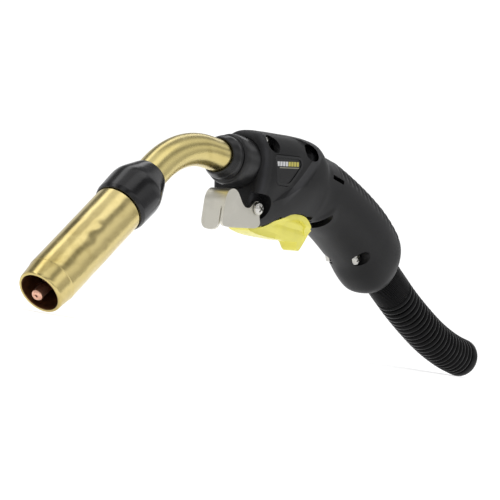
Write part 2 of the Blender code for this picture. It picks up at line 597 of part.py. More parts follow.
# leads from the switch to the plugs that join them to the cable's own control wires
for side, label in ((-1, "a"), (1, "b")):
    lead = [(-85.4, 1.9 * side, -9.2), (-96.0, 2.2 * side, -8.6), (-112.0, 3.4 * side, -9.6),
            (-128.0, 3.6 * side, -14.0), (-141.0, 3.4 * side, -20.0)]
    swept(f"switch_lead_{label}", lead, 0.8, LEAD_BLACK, sides=8)
    rod(f"switch_plug_{label}", 1.9, (-141.4, 3.4 * side, -20.2), (-151.0, 3.4 * side, -24.8),
        SWITCH_GREY, 12, bevel=0.3)

# ---------------------------------------------------------------- power block and cable end
turned("power_block", [
    (9.6, -39.3), (10.2, -40.0), (10.2, -56.0), (9.6, -56.8), (4.8, -56.8), (4.8, -74.0),
    (2.9, -74.0), (2.9, -53.5), (6.95, -53.5), (6.95, -39.3)], BRASS, (0, 0, 0),
    (1, 0, 0), 24)

# ---------------------------------------------------------------- cable boot
def boot_point(length):
    """Point and direction on the boot's smoothed centre line, length from the handle end."""
    points = [Vector((x, 0, z)) for x, z in BOOT_LINE]
    dense = []
    for i in range(len(points) - 1):
        before = points[max(i - 1, 0)]
        after = points[min(i + 2, len(points) - 1)]
        for k in range(12):
            t = k / 12
            a, b = points[i], points[i + 1]
            dense.append(0.5 * (2 * a + (b - before) * t + (2 * before - 5 * a + 4 * b - after)
                                * t * t + (3 * a - before - 3 * b + after) * t ** 3))
    dense.append(points[-1])
    run = 0.0
    for a, b in zip(dense, dense[1:]):
        step = (b - a).length
        if run + step >= length or b is dense[-1]:
            return a + (b - a) * ((length - run) / step), (b - a).normalized()
        run += step


def boot_sweep(name, stations, bore_r, bore_span):
    """A tube round the boot's centre line from (length, radius) stations, with its bore."""
    line = [boot_point(length)[0] for length, _ in stations]
    outer = tube_pieces([tuple(p) for p in line], [radius for _, radius in stations], 18)
    obj = add(name, outer, RUBBER)
    smooth(obj, 30)
    start, end = bore_span
    count = 14
    inner = [tuple(boot_point(start + (end - start) * i / count)[0]) for i in range(count + 1)]
    boolean(obj, add(name + "_bore", tube_pieces(inner, bore_r, 14), None, cutter=True))
    return obj


cuff_end = CUFF_LENGTH
corrugated = []
for ring in range(BOOT_RINGS):
    start = cuff_end + GAP + ring * BOOT_PITCH
    corrugated += [(start, BOOT_GROOVE_R), (start + 1.1, BOOT_R), (start + 3.3, BOOT_R)]
boot_end = cuff_end + GAP + BOOT_RINGS * BOOT_PITCH
corrugated.append((boot_end, BOOT_GROOVE_R))
boot_sweep("boot_cuff", [(-6.0, 11.0), (-5.0, BOOT_R), (0.0, BOOT_R), (cuff_end - 0.6, BOOT_R),
                         (cuff_end, BOOT_R - 0.6)], BOOT_BORE_R, (-12, cuff_end + 4))
boot_sweep("cable_boot", corrugated, BOOT_BORE_R, (cuff_end - 3, boot_end + 3))
boot_sweep("boot_end_cuff", [(boot_end + GAP, 12.0), (boot_end + GAP + 0.8, BOOT_R),
                             (boot_end + 5.5, BOOT_R), (boot_end + 7.5, 12.2),
                             (boot_end + 8.6, 11.0)], BOOT_BORE_R, (boot_end - 3, boot_end + 12))
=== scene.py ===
"""Looks of the MIG welding torch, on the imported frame.

Pieces are drawn in the torch's drawing frame, in millimetres: X forward along the neck collar's
axis, Y to the torch's left, Z up, origin at the collar's front. DRAWING, found from the record's
joints, carries that frame into the world. Materials, lights and the camera are in metres.
"""

import json
import math

import bmesh
import bpy
from mathutils import Matrix, Vector, noise


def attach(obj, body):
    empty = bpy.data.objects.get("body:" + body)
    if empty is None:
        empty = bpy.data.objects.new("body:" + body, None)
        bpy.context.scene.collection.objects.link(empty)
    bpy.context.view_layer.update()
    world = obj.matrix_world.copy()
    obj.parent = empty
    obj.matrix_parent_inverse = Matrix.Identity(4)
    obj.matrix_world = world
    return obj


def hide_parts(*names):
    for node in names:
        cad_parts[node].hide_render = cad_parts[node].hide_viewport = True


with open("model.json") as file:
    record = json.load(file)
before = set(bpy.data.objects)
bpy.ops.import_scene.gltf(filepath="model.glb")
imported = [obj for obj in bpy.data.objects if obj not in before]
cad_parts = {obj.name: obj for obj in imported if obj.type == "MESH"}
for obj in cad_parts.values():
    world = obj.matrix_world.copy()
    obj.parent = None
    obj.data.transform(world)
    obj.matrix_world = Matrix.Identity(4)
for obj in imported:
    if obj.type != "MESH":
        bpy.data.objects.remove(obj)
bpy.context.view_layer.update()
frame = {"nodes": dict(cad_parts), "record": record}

MM = 0.001
joints = {joint["name"]: joint for joint in frame["record"]["behaviour"]["joints"]}

# ---------------- drawing frame from the record
PIVOT = Vector((-35.0, 0.0, -32.5))  # middle of the trigger's pin
nozzle_axis = joints["gas_nozzle_pull"]["axis"]
TILT = math.radians(45) + math.atan2(nozzle_axis[2], nozzle_axis[0])
TURN = Matrix.Rotation(-TILT, 4, "Y")
hinge_at = Vector(joints["trigger_hinge"]["pos_m"])
DRAWING = Matrix.Translation(hinge_at - TURN.to_3x3() @ (PIVOT * MM)) @ TURN

# ---------------- shapes
NECK_LEAD, NECK_RADIUS, NECK_BEND = 11.4, 62.0, math.radians(45)
RING_AT, NOZZLE_LENGTH = 100.0, 77.9


def neck(length):
    """Point and direction on the neck's centre line, length ahead of the collar's front."""
    turn = min(max((length - NECK_LEAD) / NECK_RADIUS, 0), NECK_BEND)
    rest = max(length - NECK_LEAD - NECK_RADIUS * NECK_BEND, 0)
    x = min(length, NECK_LEAD) + NECK_RADIUS * math.sin(turn) + rest * math.cos(turn)
    z = -NECK_RADIUS * (1 - math.cos(turn)) - rest * math.sin(turn)
    return Vector((x, 0, z)), Vector((math.cos(turn), 0, -math.sin(turn)))


def ease(low, high, value):
    """0 below low and 1 above high, smooth between, or the other way round."""
    t = min(max((value - low) / (high - low), 0.0), 1.0)
    return t * t * (3 - 2 * t)


def from_bmesh(name, bm, angle=35):
    """A smooth mesh with sharp edges above an angle in degrees."""
    mesh = bpy.data.meshes.new(name)
    bm.to_mesh(mesh)
    bm.free()
    for face in mesh.polygons:
        face.use_smooth = True
    mesh.set_sharp_from_angle(angle=math.radians(angle))
    return mesh


def place(name, mesh, mat, body, replaces=()):
    """Adds a drawn piece that rides on a body, in place of CAD nodes."""
    obj = bpy.data.objects.new(name, mesh)
    if not mesh.materials:
        mesh.materials.append(mat)
    bpy.context.scene.collection.objects.link(obj)
    obj.matrix_world = DRAWING
    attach(obj, body)
    if replaces:
        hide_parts(*replaces)
    return obj


def rings_mesh(name, rings, closed_ends=True, loop=False, angle=35):
    """A skin over rings of points in mm. loop joins the last ring to the first."""
    bm = bmesh.new()
    made = [[bm.verts.new(Vector(p) * MM) for p in ring] for ring in rings]
    count = len(rings[0])
    pairs = list(zip(made, made[1:])) + ([(made[-1], made[0])] if loop else [])
    for one, two in pairs:
        for i in range(count):
            j = (i + 1) % count
            bm.faces.new((one[i], one[j], two[j], two[i]))
    if closed_ends and not loop:
        bm.faces.new(made[0])
        bm.faces.new(made[-1])
    bmesh.ops.recalc_face_normals(bm, faces=bm.faces)
    return from_bmesh(name, bm, angle)


def across(direction):
    """Two unit vectors square to a direction in the XZ plane: upwards in the plane, and Y."""
    up = Vector((-direction.z, 0, direction.x))
    return (up if up.z >= 0 else -up), Vector((0, 1, 0))


def round_profile(profile, radius, steps=4):
    """A closed (r, d) profile with each corner rounded by a radius, or by its own third value."""
    count, out = len(profile), []
    for i, point in enumerate(profile):
        here = Vector(point[:2])
        r = point[2] if len(point) > 2 else radius
        before, after = Vector(profile[i - 1][:2]), Vector(profile[(i + 1) % count][:2])
        a, b = before - here, after - here
        reach = min(r, a.length * 0.45, b.length * 0.45)
        if reach < 0.02:
            out.append(tuple(here))
            continue
        start, end = here + a.normalized() * reach, here + b.normalized() * reach
        for k in range(steps + 1):
            t = k / steps
            out.append(tuple(start * (1 - t) ** 2 + here * 2 * t * (1 - t) + end * t * t))
    return out


def lathe(name, profile, at, direction, steps=96, radius=0.4, shape=None, angle=40):
    """A closed turned body from an (r, d) loop with rounded corners."""
    up, side = across(direction)
    loop = round_profile(profile, radius)
    rings = []
    for i in range(steps):
        a = 2 * math.pi * i / steps
        out = up * math.cos(a) + side * math.sin(a)
        ring = []
        for r, d in loop:
            p = at + direction * d + out * r
            ring.append(shape(p, a, r, d) if shape else p)
        rings.append(ring)
    return rings_mesh(name, rings, loop=True, angle=angle)


def subdivided(profile, limit):
    """A closed (r, d) loop with long edges cut up, so that it can be dented."""
    out = []
    for i, a in enumerate(profile):
        b = profile[(i + 1) % len(profile)]
        a2, b2 = Vector(a[:2]), Vector(b[:2])
        count = max(1, int((b2 - a2).length / limit)) if len(a) < 4 else 1
        out.append(a)
        out += [tuple(a2.lerp(b2, k / count)) + (0.0,) for k in range(1, count)]
    return out


# ridge across the handle's side: its upper end in X and Z, its run, and the way behind it
RIDGE_TOP, RIDGE_RUN = Vector((-78.0, 16.5)), Vector((0.658, -0.753))
RIDGE_ACROSS = Vector((-0.753, -0.658))


# ---------------- materials
class Nodes:
    """Short hand for building one Principled material."""

    def __init__(self, name, colour, metallic, roughness):
        self.material = bpy.data.materials.new(name)
        self.material.use_nodes = True
        self.tree = self.material.node_tree
        self.shader = self.tree.nodes["Principled BSDF"]
        self.shader.inputs["Base Color"].default_value = (*colour, 1)
        self.shader.inputs["Metallic"].default_value = metallic
        self.shader.inputs["Roughness"].default_value = roughness
        self.where = self.add("ShaderNodeTexCoord").outputs["Object"]
        self.bump_from = None

    def add(self, kind, **settings):
        node = self.tree.nodes.new(kind)
        for key, value in settings.items():
            setattr(node, key, value)
        return node

    def join(self, a, b):
        self.tree.links.new(a, b)

    def noise(self, scale, detail=3, roughness=0.5, stretch=None, distortion=0.0):
        node = self.add("ShaderNodeTexNoise")
        node.inputs["Scale"].default_value = scale
        node.inputs["Detail"].default_value = detail
        node.inputs["Roughness"].default_value = roughness
        node.inputs["Distortion"].default_value = distortion
        source = self.where
        if stretch:
            mapping = self.add("ShaderNodeMapping")
            mapping.inputs["Rotation"].default_value = stretch[1]
            mapping.inputs["Scale"].default_value = stretch[0]
            self.join(source, mapping.inputs["Vector"])
            source = mapping.outputs["Vector"]
        self.join(source, node.inputs["Vector"])
        return node.outputs["Fac"]

    def ramp(self, value, *stops):
        node = self.add("ShaderNodeValToRGB")
        elements = node.color_ramp.elements
        while len(elements) < len(stops):
            elements.new(0.5)
        for element, (at, colour) in zip(elements, stops):
            element.position = at
            element.color = (*colour, 1) if len(colour) == 3 else colour
        self.join(value, node.inputs["Fac"])
        return node.outputs["Color"]

    def span(self, value, low, high, to_low=0.0, to_high=1.0):
        node = self.add("ShaderNodeMapRange")
        for key, number in zip(("From Min", "From Max", "To Min", "To Max"),
                               (low, high, to_low, to_high)):
            node.inputs[key].default_value = number
        self.join(value, node.inputs["Value"])
        return node.outputs["Result"]

    def mix(self, factor, a, b, blend="MIX"):
        node = self.add("ShaderNodeMix", data_type="RGBA", blend_type=blend)
        for socket, value in ((node.inputs[0], factor), (node.inputs[6], a), (node.inputs[7], b)):
            if hasattr(value, "links"):
                self.join(value, socket)
            elif isinstance(value, (int, float)):
                socket.default_value = value
            else:
                socket.default_value = (*value, 1)
        return node.outputs[2]

    def maths(self, operation, a, b=0.0, c=0.0):
        node = self.add("ShaderNodeMath", operation=operation)
        for socket, value in zip(node.inputs, (a, b, c)):
            if hasattr(value, "links"):
                self.join(value, socket)
            else:
                socket.default_value = value
        return node.outputs[0]

    def axis(self, name):
        node = self.add("ShaderNodeSeparateXYZ")
        self.join(self.where, node.inputs[0])
        return node.outputs[name]

    def colour(self, socket):
        self.join(socket, self.shader.inputs["Base Color"])

    def roughness(self, socket):
        self.join(socket, self.shader.inputs["Roughness"])

    def bump(self, socket, height, strength=1.0):
        node = self.add("ShaderNodeBump")
        node.inputs["Strength"].default_value = strength
        node.inputs["Distance"].default_value = height
        self.join(socket, node.inputs["Height"])
        if self.bump_from:
            self.join(self.bump_from, node.inputs["Normal"])
        self.bump_from = node.outputs["Normal"]
        self.join(self.bump_from, self.shader.inputs["Normal"])


def brass(name, base, dark, light, along=(0.0, 0.0, 0.0), roughness=(0.16, 0.34), stains=1.0):
    m = Nodes(name, base, 1.0, 0.25)
    # worn and bright patches, a few dark spots, and fine lines along the piece
    patches = m.noise(42, 4, 0.6, distortion=0.6)
    drift = m.noise(16, 2, 0.5)
    worn = m.ramp(patches, (0.30, dark), (0.48, base), (0.62, base), (0.78, light))
    tone = m.mix(m.span(drift, 0.3, 0.7), worn, m.mix(0.5, worn, light))
    spots = m.noise(260, 2, 0.5)
    spotted = m.mix(m.span(spots, 0.70, 0.80, 0.0, 0.35 * stains), tone, (0.34, 0.25, 0.09))
    m.colour(spotted)
    lines = m.noise(220, 3, 0.6, stretch=((0.06, 1.0, 1.0), along))
    m.roughness(m.span(m.maths("ADD", m.maths("MULTIPLY", patches, 0.6),
                               m.maths("MULTIPLY", lines, 0.4)), 0.3, 0.7, *roughness))
    m.bump(lines, 0.00003, 0.35)
    m.bump(m.noise(90, 2, 0.5), 0.00022, 0.35)
    return m.material


def plastic(name, base, roughness, grain=1600, height=0.00005, fleck=0.16, scuffs=0.0,
            scuff_colour=(0.2, 0.2, 0.2), gloss=0.5):
    m = Nodes(name, base, 0.0, roughness)
    light = tuple(min(c * (1 + fleck) + 0.002, 1) for c in base)
    dark = tuple(c * (1 - fleck) for c in base)
    cloud = m.noise(55, 4, 0.6)
    fine = m.noise(grain, 2, 0.6)
    tone = m.mix(m.span(cloud, 0.35, 0.65), dark, light)
    if scuffs:
        scratches = m.noise(130, 4, 0.7, stretch=((0.12, 1, 1), (0.3, 0.7, 0.2)))
        tone = m.mix(m.span(scratches, 0.66, 0.76, 0.0, scuffs), tone, scuff_colour)
    m.colour(tone)
    m.roughness(m.span(m.maths("ADD", cloud, m.maths("MULTIPLY", fine, 0.5)), 0.4, 1.1,
                       roughness - 0.07, roughness + 0.08))
    m.bump(fine, height, 0.5)
    m.shader.inputs["Specular IOR Level"].default_value = gloss
    return m


NOZZLE_TURN = (0.0, math.radians(45), 0.0)
NOZZLE_BRASS = brass("nozzle_brass", (0.62, 0.50, 0.195), (0.42, 0.32, 0.095), (0.77, 0.66, 0.34),
                     NOZZLE_TURN, (0.13, 0.30))
NECK_BRASS = brass("neck_brass", (0.62, 0.515, 0.205), (0.52, 0.42, 0.145), (0.71, 0.61, 0.30),
                   roughness=(0.21, 0.32), stains=0.5)
INNER_BRASS = brass("inner_brass", (0.60, 0.47, 0.20), (0.42, 0.30, 0.12), (0.70, 0.58, 0.28),
                    stains=0.6)
COPPER = brass("copper", (0.82, 0.47, 0.34), (0.62, 0.32, 0.22), (0.90, 0.58, 0.44),
               NOZZLE_TURN, (0.22, 0.40), 0.6)
STEEL = brass("plated_steel", (0.52, 0.51, 0.48), (0.36, 0.35, 0.32), (0.66, 0.65, 0.62),
              roughness=(0.16, 0.34), stains=0.4)
NICKEL = brass("satin_nickel", (0.64, 0.62, 0.54), (0.52, 0.50, 0.43), (0.73, 0.71, 0.64),
               roughness=(0.26, 0.40), stains=0.2)


def with_painted_highlights(m):
    """Painted highlights: paler nylon on the ridge across the side and on the rim of the front
    face, where these edges face the light.
    """
    plain = m.shader.inputs["Base Color"].links[0].from_socket
    x, z = m.axis("X"), m.axis("Z")
    x0, z0 = m.maths("SUBTRACT", x, RIDGE_TOP.x * MM), m.maths("SUBTRACT", z, RIDGE_TOP.y * MM)
    t = m.maths("ADD", m.maths("MULTIPLY", x0, RIDGE_ACROSS.x),
                m.maths("MULTIPLY", z0, RIDGE_ACROSS.y))
    u = m.maths("ADD", m.maths("MULTIPLY", x0, RIDGE_RUN.x), m.maths("MULTIPLY", z0, RIDGE_RUN.y))

    def band(value, low, high, soft_low, soft_high):
        return m.maths("MULTIPLY", m.span(value, low - soft_low, low + soft_low),
                       m.span(value, high + soft_high, high - soft_high))

    # painted highlight: a paler band along the ramp behind the ridge across the side
    ridge_highlight = m.maths("MULTIPLY", band(t, -0.0021, 0.0021, 0.0002, 0.0009),
                    band(u, -0.001, 0.040, 0.002, 0.008))
    # painted highlight: a paler band on the rounded rim of the front face, broken up by noise
    rim_highlight = m.maths("MULTIPLY", band(x, -0.0262, -0.0232, 0.0012, 0.0008),
                  m.span(m.noise(60, 2, 0.5), 0.35, 0.6, 0.4, 1.0))
    # the two painted highlight colours mixed into the nylon's own colour
    tone = m.mix(ridge_highlight, plain, (0.038, 0.038, 0.040))
    tone = m.mix(m.maths("MULTIPLY", rim_highlight, 0.7), tone, (0.040, 0.040, 0.044))
    m.colour(tone)
    return m.material


# the handle's nylon, with painted highlights on the side ridge and the front rim
HANDLE = with_painted_highlights(plastic("handle_nylon", (0.0054, 0.0054, 0.0059), 0.42, 1500, 0.00006, gloss=0.20))
PANEL = plastic("badge_nylon", (0.0068, 0.0068, 0.0073), 0.36, 1500, 0.00003, gloss=0.30)
GLOSS = plastic("phenolic_black", (0.0050, 0.0050, 0.0058), 0.17, 700, 0.00003, 0.3, 0.45,
                (0.09, 0.085, 0.08), 0.38).material
COLLAR = plastic("collar_black", (0.0075, 0.0075, 0.0080), 0.30, 900, 0.00004, 0.3, 0.25,
                 (0.06, 0.06, 0.065), 0.36).material
RUBBER = plastic("boot_rubber", (0.0022, 0.0022, 0.0025), 0.28, 900, 0.00004, 0.3, 0.2,
                 (0.03, 0.03, 0.034), 0.10).material
YELLOW = plastic("trigger_yellow", (0.74, 0.685, 0.105), 0.34, 1400, 0.00003, 0.05).material
GREY = plastic("switch_grey", (0.10, 0.10, 0.11), 0.42).material
LEAD = plastic("switch_lead", (0.03, 0.03, 0.03), 0.45).material

# ---------------- nozzle and neck
ring_at, forward = neck(RING_AT)
FRONT = NOZZLE_LENGTH


def dent(p, a, r, d):
    """Soft dents and flats of a nozzle that has been knocked about."""
    if r < 13 or d < 2:
        return p
    up, side = across(forward)
    out = up * math.cos(a) + side * math.sin(a)
    wave = noise.noise(Vector((p.x, p.y, p.z)) * 0.085)
    small = noise.noise(Vector((p.z, p.x, p.y)) * 0.23 + Vector((7, 3, 1)))
    depth = 0.055 * wave + 0.03 * small
    for at_d, at_a, wide, deep in ((38, 0.95, 3.4, 0.30), (28, 0.80, 2.8, 0.26),
                                   (33, 1.55, 2.6, 0.18), (22, 0.35, 3.0, 0.20),
                                   (55, 1.2, 4.5, 0.16), (45, 2.2, 4.0, 0.2)):
        off = (a - at_a + math.pi) % (2 * math.pi) - math.pi
        away = math.hypot(d - at_d, off * r)
        depth -= deep * math.exp(-((away / wide) ** 2))
    return p + out * depth * ease(2, 8, d) * ease(FRONT - 1, FRONT - 8, d)


nozzle_profile = [(12.75, FRONT, 0.5), (13.25, FRONT - 1.2, 0.5), (13.4, FRONT - 3.5, 1.0),
                  (14.12, FRONT - 11.0, 0.1), (14.3, FRONT - 11.25, 0.1), (14.3, 0.9, 0.3),
                  (13.8, 0.3, 0.2), (13.4, 0.3, 0.1), (13.4, -9, 0.3), (12.2, -9, 0.2),
                  (12.2, FRONT - 16, 1.0), (11.2, FRONT - 8, 1.0), (11.2, FRONT - 1, 0.3),
                  (11.6, FRONT, 0.3)]
nozzle = lathe("gas_nozzle_look", subdivided(nozzle_profile, 1.6), ring_at, forward, 128, 0.3, dent)


def bore_brass():
    """Heat stained inside of the nozzle, dark red brown."""
    m = Nodes("nozzle_bore", (0.11, 0.042, 0.018), 0.75, 0.42)
    cloud = m.noise(120, 4, 0.6)
    m.colour(m.ramp(cloud, (0.3, (0.055, 0.018, 0.008)), (0.55, (0.13, 0.050, 0.020)),
                    (0.8, (0.19, 0.085, 0.034))))
    m.roughness(m.span(cloud, 0.3, 0.7, 0.34, 0.52))
    m.bump(m.noise(600, 3, 0.6), 0.00006, 0.5)
    return m.material


BORE = bore_brass()
nozzle.materials.append(NOZZLE_BRASS)
nozzle.materials.append(BORE)
for face in nozzle.polygons:
    centre = face.center / MM - ring_at
    d = centre.dot(forward)
    r = (centre - forward * d).length
    if r < 12.6 and d < FRONT - 0.45:
        face.material_index = 1
place("gas_nozzle_look", nozzle, NOZZLE_BRASS, "gas_nozzle", ["gas_nozzle"])

place("nozzle_insulator_look", lathe("nozzle_insulator_look", [
    (14.5, 0, 0.1), (15.0, -0.1, 0.5), (15.8, -2.4, 0.4), (16.2, -15.5, 1.2),
    (15.85, -19.0, 1.2), (14.7, -22.3, 0.25), (11.3, -30.6, 0.8), (10.35, -32.5, 0.3),
    (9.85, -32.6, 0.1), (9.85, -11.8, 0.1), (13.7, -11.8, 0.1), (13.7, -0.3, 0.2)],
    ring_at, forward, 112), GLOSS, "torch_body", ["nozzle_insulator"])


def swept(name, stations, point_at, sides=64, angle=35, loop=True):
    """A closed skin over (length, radius) stations round a centre line."""
    rings = []
    for length, radius in stations:
        at, direction = point_at(length)
        up, side = across(direction)
        rings.append([at + (up * math.cos(2 * math.pi * i / sides)
                            + side * math.sin(2 * math.pi * i / sides)) * radius
                      for i in range(sides)])
    return rings_mesh(name, rings, loop=loop, angle=angle)


def tube_stations(start, end, outer, bore, step=1.6):
    """Stations out along a tube's outside and back along its bore."""
    count = int((end - start) / step)
    run = [start + (end - start) * i / count for i in range(count + 1)]
    return [(s, outer) for s in run] + [(s, bore) for s in reversed(run)]


place("neck_jacket_look", swept("neck_jacket_look", tube_stations(-37, 99, 9.55, 8.45), neck, 72),
      NECK_BRASS, "torch_body", ["swan_neck_jacket"])

tip_profile = [(0.8, FRONT + 2.7, 0.05), (1.35, FRONT + 3.3, 0.1), (2.3, FRONT + 3.3, 0.3),
               (3.25, FRONT + 2.2, 0.5), (3.45, FRONT - 6, 0.5), (4.0, FRONT - 10, 0.5),
               (4.0, 47.2, 0.1), (3.8, 46.4, 0.1), (4.0, 45.6, 0.1),
               (4.0, 33.5, 0.1), (0.8, 33.5, 0.05)]
place("contact_tip_look", lathe("contact_tip_look", tip_profile, ring_at, forward, 48, 0.2),
      COPPER, "contact_tip", ["contact_tip"])

# ---------------- collar
forward_x = Vector((1, 0, 0))


def saddle(p, a, _r, d):
    """The collar's front lip reaches forward above and below, and is cut back at the sides."""
    share = ease(-6.5, 1.0, d)
    back = 2.6 * math.sin(a) ** 2 * share
    return p - forward_x * back


place("neck_collar_look", lathe("neck_collar_look", subdivided([
    (9.87, 1.3, 0.1), (10.5, 1.5, 0.3), (11.1, 1.0, 0.5), (12.2, -1.8, 1.0), (12.9, -3.6, 1.0),
    (13.0, -6.4, 0.2), (12.55, -6.7, 0.1), (12.55, -7.2, 0.1), (13.0, -7.5, 0.2),
    (13.0, -8.2, 0.2), (9.87, -8.2, 0.1)], 1.5), Vector((0, 0, 0)), forward_x, 96, 0.3, saddle),
      COLLAR, "torch_body", ["neck_collar"])
place("collar_nut_look", lathe("collar_nut_look", [
    (13.2, -8.6, 0.4), (14.7, -9.2, 1.0), (15.25, -12.0, 1.5), (15.3, -23.6, 0.1),
    (16.6, -23.6, 0.2), (16.6, -26.2, 0.2), (9.87, -26.2, 0.1), (9.87, -8.6, 0.1)],
    Vector((0, 0, 0)), forward_x, 96, 0.3), COLLAR, "torch_body", ["collar_nut"])

# ---------------- handle
# (top x, top z, bottom x, bottom z, half width, superellipse power, taper of the lower half)
BODY = [
    (-21.5, 14.5, -21.5, -33.0, 13.6, 2.6, 0.20), (-22.0, 17.0, -22.0, -35.0, 15.6, 2.7, 0.20),
    (-24.0, 19.0, -24.0, -36.2, 17.3, 2.8, 0.22), (-28.0, 20.6, -28.0, -36.8, 18.3, 2.8, 0.24),
    (-36.0, 21.8, -36.0, -36.9, 19.0, 2.8, 0.26), (-48.0, 23.1, -46.0, -35.6, 19.5, 2.8, 0.26),
    (-62.0, 24.6, -57.0, -33.4, 19.9, 2.8, 0.26), (-74.5, 25.4, -68.0, -31.0, 20.2, 2.7, 0.24),
    (-82.5, 24.8, -77.0, -28.6, 20.2, 2.6, 0.20), (-87.0, 22.6, -83.0, -26.6, 20.1, 2.5, 0.14),
    (-90.6, 19.9, -87.0, -25.2, 20.0, 2.4, 0.08), (-96.0, 19.8, -91.0, -24.4, 19.9, 2.4, 0.04),
    (-106.0, 18.7, -97.5, -24.2, 19.9, 2.4, 0.0), (-118.0, 16.1, -106.5, -25.6, 19.9, 2.4, 0.0),
    (-134.0, 11.9, -119.0, -28.8, 20.0, 2.4, 0.0), (-151.0, 6.6, -134.0, -34.6, 20.2, 2.4, 0.0),
    (-166.5, 0.7, -148.5, -41.6, 20.3, 2.4, 0.0), (-178.5, -5.2, -159.5, -49.4, 20.1, 2.4, 0.0),
    (-186.6, -9.9, -167.6, -53.8, 19.4, 2.4, 0.0), (-191.0, -13.6, -173.5, -54.7, 18.2, 2.4, 0.0),
    (-193.4, -17.2, -179.0, -53.6, 16.4, 2.3, 0.0), (-194.0, -21.0, -183.5, -50.8, 14.2, 2.2, 0.0),
]
WALL = 2.8
# steps between one section of BODY and the next, finest under the scallops
BODY_STEPS = (4, 4, 7, 9, 12, 14, 12, 8, 6, 6, 6, 12, 16, 20, 22, 22, 18, 12, 7, 5, 4)
BOSS_R, COUNTERBORE_R, SCREW_HOLE_R = 5.6, 4.7, 1.9
SEAM = 0.008  # from Y = 0 to each half
SCREWS = {"front": (-31.5, 14.2), "middle": (-69.5, 16.6), "rear": (-147.2, -36.2)}
HOOK_SCREW = (-29.0, -25.4)
HOOK_Y = 10.9


def inset(section, by):
    """A section of the handle, smaller all round by a distance."""
    tx, tz, bx, bz, half_width, power, taper = section
    up = Vector((tx - bx, tz - bz)).normalized() * by
    return (tx - up.x, tz - up.y, bx + up.x, bz + up.y, half_width - by, power, taper)


def finer(sections, steps):
    """Sections with smooth ones put in between, by a Catmull-Rom spline; steps is one count or a
    list of them."""
    out = []
    for i in range(len(sections) - 1):
        p = [sections[max(0, min(len(sections) - 1, i + k))] for k in (-1, 0, 1, 2)]
        count = steps if isinstance(steps, int) else steps[i]
        for k in range(count):
            t = k / count
            out.append(tuple(
                0.5 * (2 * b + (c - a) * t + (2 * a - 5 * b + 4 * c - d) * t * t
                       + (3 * b - a - 3 * c + d) * t ** 3) for a, b, c, d in zip(*p)))
    out.append(sections[-1])
    return out


def section_ring(section, sides, relief=None, run=0.0):
    """Points round a superellipse section, moved outwards by relief(point, height share, run)."""
    tx, tz, bx, bz, half_width, power, taper = section
    middle = Vector(((tx + bx) / 2, 0, (tz + bz) / 2))
    up = Vector(((tx - bx) / 2, 0, (tz - bz) / 2))
    ring = []
    for i in range(sides):
        a = 2 * math.pi * (i + 0.5) / sides
        c, s = math.cos(a), math.sin(a)
        y = half_width * math.copysign(abs(s) ** (2 / power), s)
        k = math.copysign(abs(c) ** (2 / power), c)
        y *= 1 - taper * max(-k, 0)
        p = middle + up * k + Vector((0, y, 0))
        if relief:
            out = (up.normalized() * math.copysign(abs(c) ** (2 - 2 / power), c) / up.length
                   + Vector((0, math.copysign(abs(s) ** (2 - 2 / power), s), 0)) / half_width)
            p += out.normalized() * relief(p, k, run)
        ring.append(p)
    return ring


def loft_mesh(name, sections, sides=40, relief=None):
    """A closed skin over sections. relief gets the distance run along the handle's back."""
    run, rings, last = 0.0, [], None
    for section in sections:
        top = Vector((section[0], section[1]))
        run += (top - last).length if last else 0.0
        last = top
        rings.append(section_ring(section, sides, relief, run))
    return rings_mesh(name, rings, angle=50)


def skin_inside(by, sides=28, steps=None):
    """The plain handle's solid form, smaller all round by a distance."""
    sections = finer(BODY, steps) if steps else BODY
    return loft_mesh("inside", [inset(section, by) for section in sections], sides)


def badge_level(by):
    """The handle's form near its badges, where the steps are fine enough for a smooth face."""
    return skin_inside(by, 88, 4)


RIB_PITCH = 5.9


def ridge_place(p):
    """Distance behind the ridge and along it, and how much of the ridge shows there."""
    flat = Vector((p.x, p.z)) - RIDGE_TOP
    t, u = flat.dot(RIDGE_ACROSS), flat.dot(RIDGE_RUN)
    return t, u, ease(8, 14, abs(p.y)) * ease(-12, -3, u) * ease(56, 40, u)


def grip_relief(p, k, run):
    """The grip's level, proud of the head behind the ridge."""
    t, u, side = ridge_place(p)
    return moulding(p, k, run) + 0.85 * side * ease(30, 9, t) * ease(-22, -14, t)


def head_relief(p, k, run):
    """The head's level, a little low towards the ridge."""
    t, u, side = ridge_place(p)
    return moulding(p, k, run) + 0.02 - 0.95 * side * ease(-18, -4, t)


def ridge_wedge(sign):
    """Space over the head, with a slanting back that cuts the ramp."""
    rings = []
    for y in (11.0, 27.0):
        back_edge = -1.9 + (y - 18.5) * 2.1
        rings.append([Vector((at.x, sign * y, at.y)) for at in
                      [RIDGE_TOP + RIDGE_ACROSS * t + RIDGE_RUN * u for t, u in
                       ((-32, -12), (-32, 54), (back_edge, 54), (back_edge, -12))]])
    return rings_mesh("wedge", rings)


def moulding(p, k, run):
    """Height in mm of the moulded detail over the plain handle."""
    height = 0.0
    # belly crease behind the trigger
    crease = (Vector((p.x, p.z)) - Vector((-101.9, -13.7))).dot(Vector((-0.70, -0.71)))
    belly = (Vector((p.x, p.z)) - Vector((-101.9, -13.7))).dot(Vector((0.71, -0.70)))
    height += (0.55 * ease(-3.2, 0.6, crease) * ease(12, 1.5, crease) * ease(-4, 3, belly)
               * ease(9, 14, abs(p.y)))
    # scallops along the back of the grip
    along = -p.x
    ribs = ease(102, 108, along) * ease(187, 181, along) * ease(0.45, 0.72, k)
    wave = abs(math.sin(math.pi * run / RIB_PITCH))
    height += ribs * (1.05 * wave - 0.75)
    # rounded ridge round the front face
    height += 0.45 * ease(-30.5, -25.5, p.x) * ease(-22.2, -24.2, p.x)
    return height


def helper(name, mesh):
    """A short lived object that takes part in a boolean."""
    obj = bpy.data.objects.new(name, mesh)
    bpy.context.scene.collection.objects.link(obj)
    return obj


